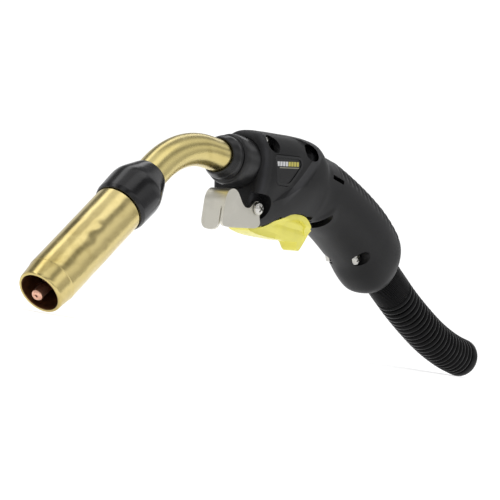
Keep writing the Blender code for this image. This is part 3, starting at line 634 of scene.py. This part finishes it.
def prism(outline, y0, y1, turn=False):
    """A closed prism on an outline of (x, z) points from y0 to y1, or (y, z) from x0 to x1."""
    bm = bmesh.new()
    y0, y1 = sorted((y0, y1))
    ends = []
    for depth in (y0, y1):
        ends.append([bm.verts.new(Vector((depth, a, b) if turn else (a, depth, b)) * MM)
                     for a, b in outline])
    bm.faces.new(ends[0])
    bm.faces.new(ends[1])
    count = len(outline)
    for i in range(count):
        j = (i + 1) % count
        bm.faces.new((ends[0][i], ends[0][j], ends[1][j], ends[1][i]))
    bmesh.ops.recalc_face_normals(bm, faces=bm.faces)
    return from_bmesh("prism", bm)


def peg(radius, start, end, sides=48, flare=0.0):
    """A closed cylinder between two points in mm, wider by flare at its end."""
    a, b = Vector(start), Vector(end)
    direction = (b - a).normalized()
    one = direction.orthogonal().normalized()
    two = direction.cross(one)
    rings = []
    for at, r in ((a, radius), (b, radius + flare)):
        rings.append([at + (one * math.cos(2 * math.pi * i / sides)
                            + two * math.sin(2 * math.pi * i / sides)) * r for i in range(sides)])
    return rings_mesh("peg", rings)


def carve(base, steps):
    """Applies (operation, mesh) booleans to a mesh in turn and returns the new mesh."""
    holder = helper("carving", base)
    tools = []
    for operation, mesh in steps:
        tool = helper("tool", mesh)
        tools.append(tool)
        mod = holder.modifiers.new("cut", "BOOLEAN")
        mod.operation, mod.object, mod.solver = operation, tool, "EXACT"
    bpy.context.view_layer.update()
    graph = bpy.context.evaluated_depsgraph_get()
    made = bpy.data.meshes.new_from_object(holder.evaluated_get(graph))
    for obj in [holder] + tools:
        bpy.data.objects.remove(obj)
    made.materials.clear()
    return made


def smoothed(mesh, angle=35):
    for face in mesh.polygons:
        face.use_smooth = True
    mesh.set_sharp_from_angle(angle=math.radians(angle))
    return mesh


def grown(outline, by):
    """An outline with every edge moved outwards by a distance."""
    points = [Vector(p) for p in outline]
    area = sum(a.x * b.y - b.x * a.y for a, b in zip(points, points[1:] + points[:1]))
    side = 1 if area > 0 else -1
    moved = []
    for i, here in enumerate(points):
        one = (here - points[i - 1]).normalized()
        two = (points[(i + 1) % len(points)] - here).normalized()
        out = (Vector((one.y, -one.x)) + Vector((two.y, -two.x))) * side / 2
        moved.append(tuple(here + out * (by / max(out.length_squared, 0.25))))
    return moved


def rounded(outline, radius, steps=5):
    return round_profile([(x, z, radius) for x, z in outline], radius, steps)


TRIGGER_ARCH = [(-41.5, -45), (-41.5, -34.9), (-44.5, -33.9), (-49.0, -31.6), (-54.9, -27.3),
                (-60.9, -23.8), (-68.0, -21.8), (-74.5, -21.2), (-79.5, -21.6), (-84.0, -23.4),
                (-87.6, -26.0), (-89.0, -29.0), (-89.0, -45)]
# side of the trigger: along the arch on top, then its tab and its lower edge
SIDE = [(-41.5, -38.6)] + TRIGGER_ARCH[1:11] + [
    (-88.4, -27.6), (-91.6, -28.0), (-90.4, -36.0), (-89.2, -41.2), (-87.0, -41.4), (-85.4, -40.4),
    (-84.0, -37.0), (-82.6, -36.4), (-72.0, -37.6), (-60.0, -38.4), (-48.9, -39.0)]


def offset_arch(by):
    """The trigger's arch, moved away from its middle by a distance."""
    middle = Vector((-66.0, -34.0))
    return [tuple(Vector(p) + (Vector(p) - middle).normalized() * by) for p in TRIGGER_ARCH]


def swung(outline, degrees):
    """An outline turned about the trigger's pin, upwards into the handle."""
    c, s = math.cos(math.radians(degrees)), math.sin(math.radians(degrees))
    return [(PIVOT.x + (x - PIVOT.x) * c + (z - PIVOT.z) * s,
             PIVOT.z - (x - PIVOT.x) * s + (z - PIVOT.z) * c) for x, z in outline]


def disc(x, z, radius, start=0.0, end=360.0, count=40):
    """Points of an arc or a circle, between two angles in degrees."""
    return [(x + radius * math.cos(math.radians(start + (end - start) * i / (count - 1))),
             z + radius * math.sin(math.radians(start + (end - start) * i / (count - 1))))
            for i in range(count)]


# outlines on the handle's side: hook plate, badge, slot, pocket behind the trigger
LOBE = [(3.1, -39.4), (3.1, -25.2), (1.9, -21.4), (-0.8, -18.9), (-4.2, -18.0), (-7.6, -18.9),
        (-10.6, -21.4), (-14.0, -24.9), (-17.6, -27.0), (-22.0, -26.4), (-24.8, -23.4),
        (-27.0, -21.5), (-30.0, -21.1), (-32.8, -23.0), (-33.4, -26.0), (-32.4, -29.0),
        (-34.4, -33.2), (-33.6, -35.2), (-30.0, -37.0), (-6.0, -40.6), (1.2, -40.8)]
BADGE = [(-31.9, 6.4), (-33.6, 8.2), (-57.0, 11.4), (-59.6, 9.9), (-60.6, 6.6), (-59.4, 3.8),
         (-50.6, -7.4), (-48.4, -8.6), (-38.4, -9.6), (-36.2, -8.0)]
REAR_SLOT = [(-93.9, 7.6), (-93.4, 4.9), (-106.6, 3.6), (-107.4, 6.2)]
POCKET = [(-82.0, -25.4), (-88.5, -25.2), (-94.2, -22.4), (-101.8, -15.6), (-103.6, -18.4),
          (-103.5, -23.4), (-101.2, -27.4), (-96.7, -32.0), (-82.0, -34.0)]
# ribs inside each half, as two corners with Y away from the seam
RIBS = [((-52.0, 0.15, -20.5), (-44.0, 19.0, -17.6)), ((-75.0, 3.5, -12.2), (-66.0, 19.0, -7.6)),
        ((-50.0, 10.6, -3.0), (-46.5, 19.0, 3.0))]


def hollow_section(section):
    """The room inside a section, with a floor over the trigger's well."""
    tx, tz, bx, bz, half_width, power, taper = inset(section, WALL)
    floor = -18.5 if bx > -42 else bz
    share = (tz - floor) / (tz - bz)
    return (tx, tz, tx + (bx - tx) * share, floor, half_width, power, taper)


HOLLOW = [hollow_section(section) for section in BODY[4:-2]]
HOLLOW[0] = (-35.2, 17.4, -35.2, -17.4, 15.4, 2.2, 0.1)
HOLLOW.append((-189.0, -23.0, -179.0, -45.0, 11.0, 2.0, 0.0))


def box_mesh(low, high):
    return prism([(low[0], low[2]), (high[0], low[2]), (high[0], high[2]), (low[0], high[2])],
                 low[1], high[1])


def handle_half(sign):
    """One half of the handle, on the +Y side for sign 1 and on the -Y side for sign -1."""
    body = finer(BODY, BODY_STEPS)
    outer = loft_mesh("outer", body, 104, grip_relief)
    wedge = carve(ridge_wedge(sign), [("DIFFERENCE", loft_mesh("head", body, 104, head_relief))])
    low, high = sorted((-sign * 40, sign * SEAM))
    steps = [("DIFFERENCE", wedge), ("DIFFERENCE", box_mesh((-260, low, -90), (20, high, 60))),
             ("DIFFERENCE", loft_mesh("hollow", HOLLOW, 28))]
    for x, z in SCREWS.values():
        boss = carve(peg(BOSS_R, (x, sign * 0.15, z), (x, sign * 16.4, z), 32),
                     [("INTERSECT", skin_inside(1.0))])
        steps.append(("UNION", boss))
    for low_corner, high_corner in RIBS:
        ys = sorted((sign * low_corner[1], sign * high_corner[1]))
        rib = carve(box_mesh((low_corner[0], ys[0], low_corner[2]),
                             (high_corner[0], ys[1], high_corner[2])),
                    [("INTERSECT", skin_inside(1.0))])
        steps.append(("UNION", rib))
    cuts = [peg(15.6, (-10, 0, 0), (-25.0, 0, 0), 96), peg(16.9, (-23.2, 0, 0), (-26.6, 0, 0), 96),
            peg(9.95, (-26.0, 0, 0), (-38.0, 0, 0), 64),
            peg(13.15, (-176.0, 0, -31.8), (-216.0, 0, -51.6), 64),
            prism(rounded(offset_arch(0.45), 1.2), -30, 30),
            prism([(-26.0, -45), (-26.0, -28.6), (-40.0, -27.4), (-60, -20), (-86, -20),
                   (-90, -26), (-90, -45)], -7.4, 7.4),
            prism(swung(grown(SIDE, 0.6), 5.25), -13.75, 13.75),
            peg(1.75, (PIVOT.x, -10.4, PIVOT.z), (PIVOT.x, 10.4, PIVOT.z), 24)]
    for key, (x, z) in SCREWS.items():
        # each counterbore is stretched towards the rear, but for the one nearest the boot
        cuts.append(peg(COUNTERBORE_R, (x, sign * 8.6, z), (x, sign * 30, z), 48))
        if key != "rear":
            cuts.append(peg(COUNTERBORE_R, (x - 1.6, sign * 10.2, z - 0.6),
                            (x - 2.2, sign * 30, z - 0.8), 48))
        cuts.append(peg(SCREW_HOLE_R, (x, sign * -2, z), (x, sign * 12, z), 20))
    # recess for the hook's screw, open to the front
    x, z = HOOK_SCREW
    recess = disc(x - 1.6, z + 0.8, 7.8, 80, 270, 30) + [(-14.0, z - 6.8), (-14.0, z + 8.4)]
    cuts.append(prism(recess, sign * 10.6, sign * 30))
    cuts.append(prism(disc(x - 2.4, z + 1.0, 6.6), sign * 9.4, sign * 30))
    cuts.append(peg(2.0, (x, sign * -2, z), (x, sign * 12, z), 20))
    cuts.append(prism(rounded(grown(LOBE, 0.5), 1.0), sign * (HOOK_Y - 0.3), sign * 30))
    cuts.append(prism(rounded(POCKET, 2.0), sign * 3.0, sign * 30))
    seat = carve(prism(rounded(BADGE, 1.4), sign * 11, sign * 30),
                 [("DIFFERENCE", badge_level(1.6))])
    cuts.append(seat)
    cuts.append(prism(rounded(REAR_SLOT, 0.5), sign * 14, sign * 30))
    steps += [("DIFFERENCE", cut) for cut in cuts]
    return smoothed(carve(outer, steps), 32)


for sign, label in ((1, "left"), (-1, "right")):
    place(f"handle_{label}_look", handle_half(sign), HANDLE, "torch_body", [f"handle_{label}"])


def badge_material():
    """The badge: a row of plain pale and gold blocks over a thin rule, with no lettering."""
    m = PANEL
    plain = m.shader.inputs["Base Color"].links[0].from_socket
    x, z = m.axis("X"), m.axis("Z")
    level = m.maths("ADD", z, m.maths("MULTIPLY", x, 0.17))

    def band(value, low, high, soft=0.00015):
        return m.maths("MULTIPLY", m.span(value, low - soft, low + soft),
                       m.span(value, high + soft, high - soft))

    row = band(level, -0.00520 + 0.00070, -0.00520 + 0.00340)
    phase = m.maths("FRACT", m.maths("MULTIPLY", x, 1 / 0.0027))
    blocks = m.span(m.maths("ABSOLUTE", m.maths("SUBTRACT", phase, 0.5)), 0.44, 0.36)
    row = m.maths("MULTIPLY", row, blocks)
    pale = m.maths("MULTIPLY", row, band(x, -0.0459, -0.0351))
    gold = m.maths("MULTIPLY", row, band(x, -0.0567, -0.0459))
    rule = m.maths("MULTIPLY", band(level, -0.00570, -0.00525), band(x, -0.0567, -0.0378))
    tone = m.mix(pale, plain, (0.60, 0.60, 0.60))
    tone = m.mix(gold, tone, (0.50, 0.44, 0.09))
    tone = m.mix(m.maths("MULTIPLY", rule, 0.55), tone, (0.55, 0.53, 0.40))
    m.colour(tone)
    return m.material


PANEL_LOOK = badge_material()
for sign, label in ((1, "left"), (-1, "right")):
    panel = carve(prism(rounded(grown(BADGE, -0.35), 1.4), sign * 11, sign * 30), [
        ("DIFFERENCE", badge_level(1.25)),
        ("INTERSECT", badge_level(0.15)),
        ("DIFFERENCE", carve(prism(rounded(grown(BADGE, -1.9), 1.2), sign * 11, sign * 30), [
            ("DIFFERENCE", badge_level(0.65))]))])
    place(f"badge_panel_{label}_look", smoothed(panel, 30), PANEL_LOOK, "torch_body",
          [f"badge_panel_{label}"])


# ---------------- fasteners
SCREW_SEAT_Y, SCREW_HEAD_R, SHANK_R, SHANK_LENGTH = 8.9, 3.9, 1.55, 18


def screw_head(name, at, y, radius, height, node):
    """A pan head with a cross recess on a plain shank, drawn along +Y."""
    across_y = Vector((0, 1, 0))
    profile = [(0.0, y + height)]
    for k in range(7):
        a = math.radians(15 * k)
        profile.append((radius * math.sin(a) * 0.98 + 0.02 * radius,
                        y + height * 0.25 + height * 0.75 * math.cos(a)))
    profile += [(radius, y), (SHANK_R, y), (SHANK_R, y - SHANK_LENGTH), (0.0, y - SHANK_LENGTH)]
    bm = bmesh.new()
    sides = 40
    centre = Vector((at[0], 0, at[1]))
    made = []
    for r, d in profile:
        if r == 0.0:
            made.append([bm.verts.new((centre + across_y * d) * MM)])
            continue
        made.append([bm.verts.new((centre + across_y * d + Vector((math.cos(b), 0, math.sin(b)))
                                   * r) * MM)
                     for b in [2 * math.pi * i / sides for i in range(sides)]])
    for one, two in zip(made, made[1:]):
        for i in range(sides):
            j = (i + 1) % sides
            corners = [one[i % len(one)], one[j % len(one)], two[j % len(two)], two[i % len(two)]]
            corners = [c for n, c in enumerate(corners) if c not in corners[:n]]
            if len(corners) > 2:
                bm.faces.new(corners)
    bmesh.ops.recalc_face_normals(bm, faces=bm.faces)
    base = from_bmesh(name, bm)
    x, z = at
    slots = []
    for turn in (0.5, 0.5 + math.pi / 2):
        a, b = Vector((math.cos(turn), math.sin(turn))), Vector((-math.sin(turn), math.cos(turn)))
        long, thin = radius * 0.62, radius * 0.13
        outline = [tuple(Vector((x, z)) + a * p * long + b * q * thin)
                   for p, q in ((-1, -1), (1, -1), (1, 1), (-1, 1))]
        slots.append(("DIFFERENCE", prism(outline, y + height * 0.35, y + height + 2)))
    made = carve(base, slots)
    place(name, smoothed(made, 30), STEEL, "torch_body", [node])


for key, at in SCREWS.items():
    screw_head(f"handle_screw_{key}_look", at, SCREW_SEAT_Y, SCREW_HEAD_R, 2.5,
               f"handle_screw_{key}")
screw_head("hook_screw_look", HOOK_SCREW, 12.8, SCREW_HEAD_R, 3.2, "hook_screw")


def nut(name, at, y0, y1, radius, node):
    """A bored hexagon nut with its corners turned off, from y0 to y1."""
    outline = [(at[0] + radius * math.cos(math.radians(60 * i)),
                at[1] + radius * math.sin(math.radians(60 * i))) for i in range(6)]
    base = prism(rounded(outline, 0.3, 2), y0, y1)
    bore = peg(1.95, (at[0], y0 - 1, at[1]), (at[0], y1 + 1, at[1]), 24)
    round_off = peg(radius * 1.02, (at[0], y0 - 0.01, at[1]), (at[0], y1 + 0.01, at[1]), 48)
    made = carve(base, [("DIFFERENCE", bore), ("INTERSECT", round_off)])
    place(name, smoothed(made, 30), STEEL, "torch_body", [node])


for key, at in SCREWS.items():
    nut(f"handle_nut_{key}_look", at, -11.6, -8.9, 3.45, f"handle_nut_{key}")
nut("hook_nut_look", HOOK_SCREW, -13.9, -10.9, 3.95, "hook_nut")

# ---------------- hook
STRIP = [(3.1, -44.0)] + LOBE[1:6] + [(-6.9, -20.3), (-4.2, -19.6), (-1.4, -20.3), (0.5, -22.2),
                                      (1.5, -25.4), (1.5, -44.0)]
STRIP_END = [(-2.6, -10.0), (-2.6, -38.5), (-1.9, -41.0), (0.0, -42.9), (2.6, -43.5),
             (5.4, -43.5), (8.0, -42.9), (9.6, -41.0), (10.0, -38.5), (10.0, -30.0),
             (13.0, -28.0), (13.0, -10.0)]
strip = carve(prism(rounded(STRIP, 2.5, 6), -2.6, HOOK_Y + 0.8),
              [("INTERSECT", prism(rounded(STRIP_END, 1.5), -12, 12, True))])
plate = carve(prism(rounded(LOBE, 2.0, 6), HOOK_Y, HOOK_Y + 1.6), [
    ("UNION", strip), ("DIFFERENCE", peg(2.3, (HOOK_SCREW[0], 8, HOOK_SCREW[1]),
                                         (HOOK_SCREW[0], 16, HOOK_SCREW[1]), 32))])
hook = place("hanging_hook_look", smoothed(plate, 28), NICKEL, "torch_body", ["hanging_hook"])
edges = hook.modifiers.new("edges", "BEVEL")
edges.width, edges.segments, edges.limit_method = 0.00022, 2, "ANGLE"
edges.angle_limit = math.radians(50)

# ---------------- trigger
# the trigger's half outline across, its tongue round the pin, and the trough inside it
WAIST = [(3.2, -45), (5.4, -40.0), (9.4, -29.0), (12.6, -26.8), (13.4, -20), (13.4, 0)]
TONGUE = [(-28.6, -36.4), (-29.2, -31.6), (-32.0, -29.2), (-37.5, -28.8), (-41.0, -30.2),
          (-44.0, -34.0), (-60.0, -34.4), (-60.0, -38.4), (-48.9, -39.0), (-40.4, -39.0),
          (-32.5, -38.2)]
TROUGH = [(-77.0, -10.0), (-76.6, -29.0), (-64.0, -32.4), (-45.0, -35.0), (-44.0, -34.0),
          (-44.0, -10.0)]
# near face below the cap, stepped in, and the outline across it
FACE = [(-46.0, -38.0), (-46.0, -36.6), (-50.0, -34.4), (-56.0, -30.4), (-61.6, -27.0),
        (-68.2, -25.0), (-74.2, -24.5), (-78.6, -24.9), (-82.4, -26.6), (-85.6, -29.4),
        (-88.6, -31.6), (-88.0, -36.0), (-83.4, -35.6), (-82.0, -35.8), (-72.0, -37.0),
        (-60.0, -37.8)]
NEAR_FACE = [(5.2, -40.0), (8.0, -30.0), (10.2, -27.0), (10.4, -20.0)]
trigger = carve(prism(rounded(SIDE, 1.5), -19, 19), [
    ("INTERSECT", prism(rounded(WAIST + [(-y, z) for y, z in reversed(WAIST)], 1.2), -110, -20,
                        True)),
    ("UNION", prism(rounded(TONGUE, 1.0), -7.0, 7.0)),
    ("DIFFERENCE", prism(rounded(FACE, 1.5), 8.2, 30)),
    ("DIFFERENCE", prism(rounded(FACE, 1.5), -30, -8.2)),
    ("UNION", carve(prism(rounded(grown(FACE, 0.3), 1.5), -11.4, 11.4), [
        ("INTERSECT", prism(rounded([(-y, z) for y, z in NEAR_FACE] + NEAR_FACE[::-1], 0.6),
                            -110, -20, True))])),
    ("DIFFERENCE", peg(1.8, (PIVOT.x, -20, PIVOT.z), (PIVOT.x, 20, PIVOT.z), 24)),
    ("DIFFERENCE", prism(TROUGH, -6.4, 6.4)),
    ("DIFFERENCE", peg(3.4, (-48.0, 0, -33.5), (-48.0, 0, -15), 24))])
place("trigger_look", smoothed(trigger, 30), YELLOW, "trigger", ["trigger"])

# ---------------- boot
BOOT_LINE = [(-190.0, -38.6), (-203.7, -45.6), (-222.6, -54.8), (-243.2, -63.3),
             (-264.0, -70.6), (-284.5, -75.7), (-300.0, -78.1), (-313.0, -79.2)]
BOOT_R, BOOT_GROOVE_R, BOOT_BORE_R = 12.9, 11.5, 9.6
CUFF, PITCH, RINGS, GAP = 22.0, 4.45, 22, 0.3


def boot_dense():
    """The boot's centre line as closely spaced points on a smooth curve."""
    points = [Vector((x, 0, z)) for x, z in BOOT_LINE]
    dense = []
    for i in range(len(points) - 1):
        before, after = points[max(i - 1, 0)], points[min(i + 2, len(points) - 1)]
        a, b = points[i], points[i + 1]
        for k in range(12):
            t = k / 12
            dense.append(0.5 * (2 * a + (b - before) * t
                                + (2 * before - 5 * a + 4 * b - after) * t * t
                                + (3 * a - before - 3 * b + after) * t ** 3))
    return dense + [points[-1]]


DENSE = boot_dense()


def boot_point(length):
    """Point and direction on the boot's centre line, length from its start."""
    run = 0.0
    for a, b in zip(DENSE, DENSE[1:]):
        step = (b - a).length
        if run + step >= length or b is DENSE[-1]:
            return a + (b - a) * ((length - run) / step), (b - a).normalized()
        run += step


def bored(stations, bore, step=3.0):
    """Stations of an outside, followed by those of a bore back to the start."""
    start, end = stations[0][0], stations[-1][0]
    count = max(2, int((end - start) / step))
    return stations + [(end + (start - end) * i / count, bore) for i in range(count + 1)]


cuff = [(-6.0, 11.0), (-5.4, 12.5), (-5.0, BOOT_R)]
length = 0.0
cuff.append((length, BOOT_R))
while length < CUFF - 1.6:
    for part, r in ((0.0, BOOT_R), (0.55, BOOT_R), (0.70, BOOT_R - 0.40), (1.05, BOOT_R - 0.40)):
        cuff.append((length + part, r))
    length += 1.25
cuff += [(CUFF - 0.7, BOOT_R), (CUFF - 0.2, BOOT_R - 0.2), (CUFF, BOOT_R - 0.7)]
place("boot_cuff_look", swept("boot_cuff_look", bored(cuff, BOOT_BORE_R), boot_point, 72, 30),
      RUBBER, "torch_body", ["boot_cuff"])

coils = []
for ring in range(RINGS):
    start = CUFF + GAP + ring * PITCH
    deep = BOOT_GROOVE_R - 0.25
    for part, r in ((0.0, deep), (0.28, deep + 0.02), (0.55, BOOT_R - 0.85), (0.85, BOOT_R - 0.35),
                    (1.35, BOOT_R - 0.06), (2.1, BOOT_R), (2.85, BOOT_R - 0.06),
                    (3.35, BOOT_R - 0.35), (3.68, BOOT_R - 0.85), (3.95, deep + 0.02)):
        coils.append((start + part, r))
boot_end = CUFF + GAP + RINGS * PITCH
coils.append((boot_end, BOOT_GROOVE_R - 0.25))
place("cable_boot_look", swept("cable_boot_look", bored(coils, BOOT_BORE_R), boot_point, 72, 45),
      RUBBER, "torch_body", ["cable_boot"])
last = [(boot_end + GAP, 11.9), (boot_end + GAP + 0.3, 12.6), (boot_end + GAP + 0.9, BOOT_R),
        (boot_end + 5.2, BOOT_R), (boot_end + 6.6, 12.75), (boot_end + 7.6, 12.3),
        (boot_end + 8.3, 11.5), (boot_end + 8.6, 10.6)]
place("boot_end_look", swept("boot_end_look", bored(last, BOOT_BORE_R), boot_point, 72, 40),
      RUBBER, "torch_body", ["boot_end_cuff"])

# ---------------- inner pieces keep their shape
for names, mat in ((("nozzle_adapter", "gas_diffuser", "power_block", "switch_terminal_a",
                     "switch_terminal_b"), INNER_BRASS),
                   (("neck_conductor",), COPPER),
                   (("wire_liner", "trigger_pin", "trigger_spring", "switch_button",
                     "switch_lever"), STEEL),
                   (("neck_sleeve",), GLOSS), (("switch_body", "switch_plug_a",
                                                "switch_plug_b"), GREY),
                   (("switch_lead_a", "switch_lead_b"), LEAD)):
    for name in names:
        node = frame["nodes"][name]
        node.data.materials.clear()
        node.data.materials.append(mat)

# ---------------- floor, light and camera
scene = bpy.context.scene
scene.view_settings.view_transform = "Standard"
CAMERA_RIGHT = Vector((-0.561258, 0.814868, 0.144844))
CAMERA_UP = Vector((0.162778, -0.062907, 0.984655))
CAMERA_BACK = Vector((0.811476, 0.576223, -0.097335))
CAMERA_AT = Vector((1104.89, 817.07, -186.03))
camera = bpy.data.objects.new("camera", bpy.data.cameras.new("camera"))
camera.data.sensor_width = 36
camera.data.lens = 172.42
camera.data.clip_end = 50
scene.collection.objects.link(camera)
pose = Matrix((CAMERA_RIGHT, CAMERA_UP, CAMERA_BACK)).transposed().to_4x4()
pose.translation = CAMERA_AT * MM
camera.matrix_world = DRAWING @ pose
scene.camera = camera

floor_bm = bmesh.new()
bmesh.ops.create_grid(floor_bm, x_segments=1, y_segments=1, size=6.0)
floor = bpy.data.objects.new("floor", from_bmesh("floor", floor_bm))
scene.collection.objects.link(floor)
floor.rotation_euler = (math.radians(-3.5), 0, 0)
floor.location = (0, 0, -0.0002)
paper = Nodes("floor_paper", (0.9, 0.9, 0.9), 0.0, 0.8)
paper.colour(paper.ramp(paper.noise(3, 2), (0.3, (0.88, 0.88, 0.88)), (0.7, (0.92, 0.92, 0.92))))
paper.shader.inputs["Emission Color"].default_value = (1, 1, 1, 1)
paper.shader.inputs["Emission Strength"].default_value = 0.45
floor.data.materials.append(paper.material)

back = (DRAWING.to_3x3() @ CAMERA_BACK).normalized()
right = (DRAWING.to_3x3() @ CAMERA_RIGHT).normalized()
middle = Vector((0.02, 0, 0.06))


def softbox(name, direction, distance, width, height, power):
    """A rectangular area light that faces the torch from a direction."""
    data = bpy.data.lights.new(name, "AREA")
    data.shape = "RECTANGLE"
    data.size, data.size_y = width, height
    data.energy = power
    obj = bpy.data.objects.new(name, data)
    scene.collection.objects.link(obj)
    obj.location = middle + direction.normalized() * distance
    obj.rotation_euler = direction.to_track_quat("Z", "Y").to_euler()


softbox("key", back * 0.35 - right * 0.85 + Vector((0, 0, 1.1)), 1.6, 0.9, 0.9, 1.0)
softbox("top", Vector((0, 0, 1)) + back * 0.15, 1.5, 1.6, 0.8, 2.2)
softbox("fill", back * 0.7 + right * 0.9 + Vector((0, 0, 0.25)), 1.9, 1.0, 1.4, 1.2)

world = bpy.data.worlds.new("studio")
world.use_nodes = True
scene.world = world
tree = world.node_tree
backdrop = tree.nodes["Background"]
backdrop.inputs["Color"].default_value = (1, 1, 1, 1)
backdrop.inputs["Strength"].default_value = 1.1
where = tree.nodes.new("ShaderNodeTexCoord")
parts = tree.nodes.new("ShaderNodeSeparateXYZ")
tree.links.new(where.outputs["Generated"], parts.inputs[0])
turn = tree.nodes.new("ShaderNodeMath")
turn.operation = "ARCTAN2"
tree.links.new(parts.outputs["Y"], turn.inputs[0])
tree.links.new(parts.outputs["Z"], turn.inputs[1])
share = tree.nodes.new("ShaderNodeMapRange")
share.inputs["From Min"].default_value = -math.pi
share.inputs["From Max"].default_value = math.pi
tree.links.new(turn.outputs[0], share.inputs["Value"])
# long strip lights parallel to the torch: degrees from straight up, towards the left, brightness
STRIPS = [(-180, 0.45), (-95, 0.60), (-66, 0.85), (-57, 0.70), (-51, 0.20), (-37, 0.24),
          (-32, 1.8), (-23, 1.8), (-16, 0.36), (3, 0.36), (13, 1.0), (29, 1.0), (37, 0.34),
          (47, 0.34), (56, 1.0), (66, 0.95), (75, 0.58), (92, 0.54), (120, 0.42), (180, 0.45)]
ramp = tree.nodes.new("ShaderNodeValToRGB")
tree.links.new(share.outputs["Result"], ramp.inputs["Fac"])
while len(ramp.color_ramp.elements) < len(STRIPS):
    ramp.color_ramp.elements.new(0.5)
for element, (degrees, level) in zip(ramp.color_ramp.elements, STRIPS):
    element.position = (degrees + 180) / 360
    element.color = (level, level, level * 1.01, 1)
room = tree.nodes.new("ShaderNodeBackground")
tree.links.new(ramp.outputs["Color"], room.inputs["Color"])
path = tree.nodes.new("ShaderNodeLightPath")
choice = tree.nodes.new("ShaderNodeMixShader")
tree.links.new(path.outputs["Is Camera Ray"], choice.inputs[0])
tree.links.new(room.outputs[0], choice.inputs[1])
tree.links.new(backdrop.outputs[0], choice.inputs[2])
tree.links.new(choice.outputs[0], tree.nodes["World Output"].inputs["Surface"])
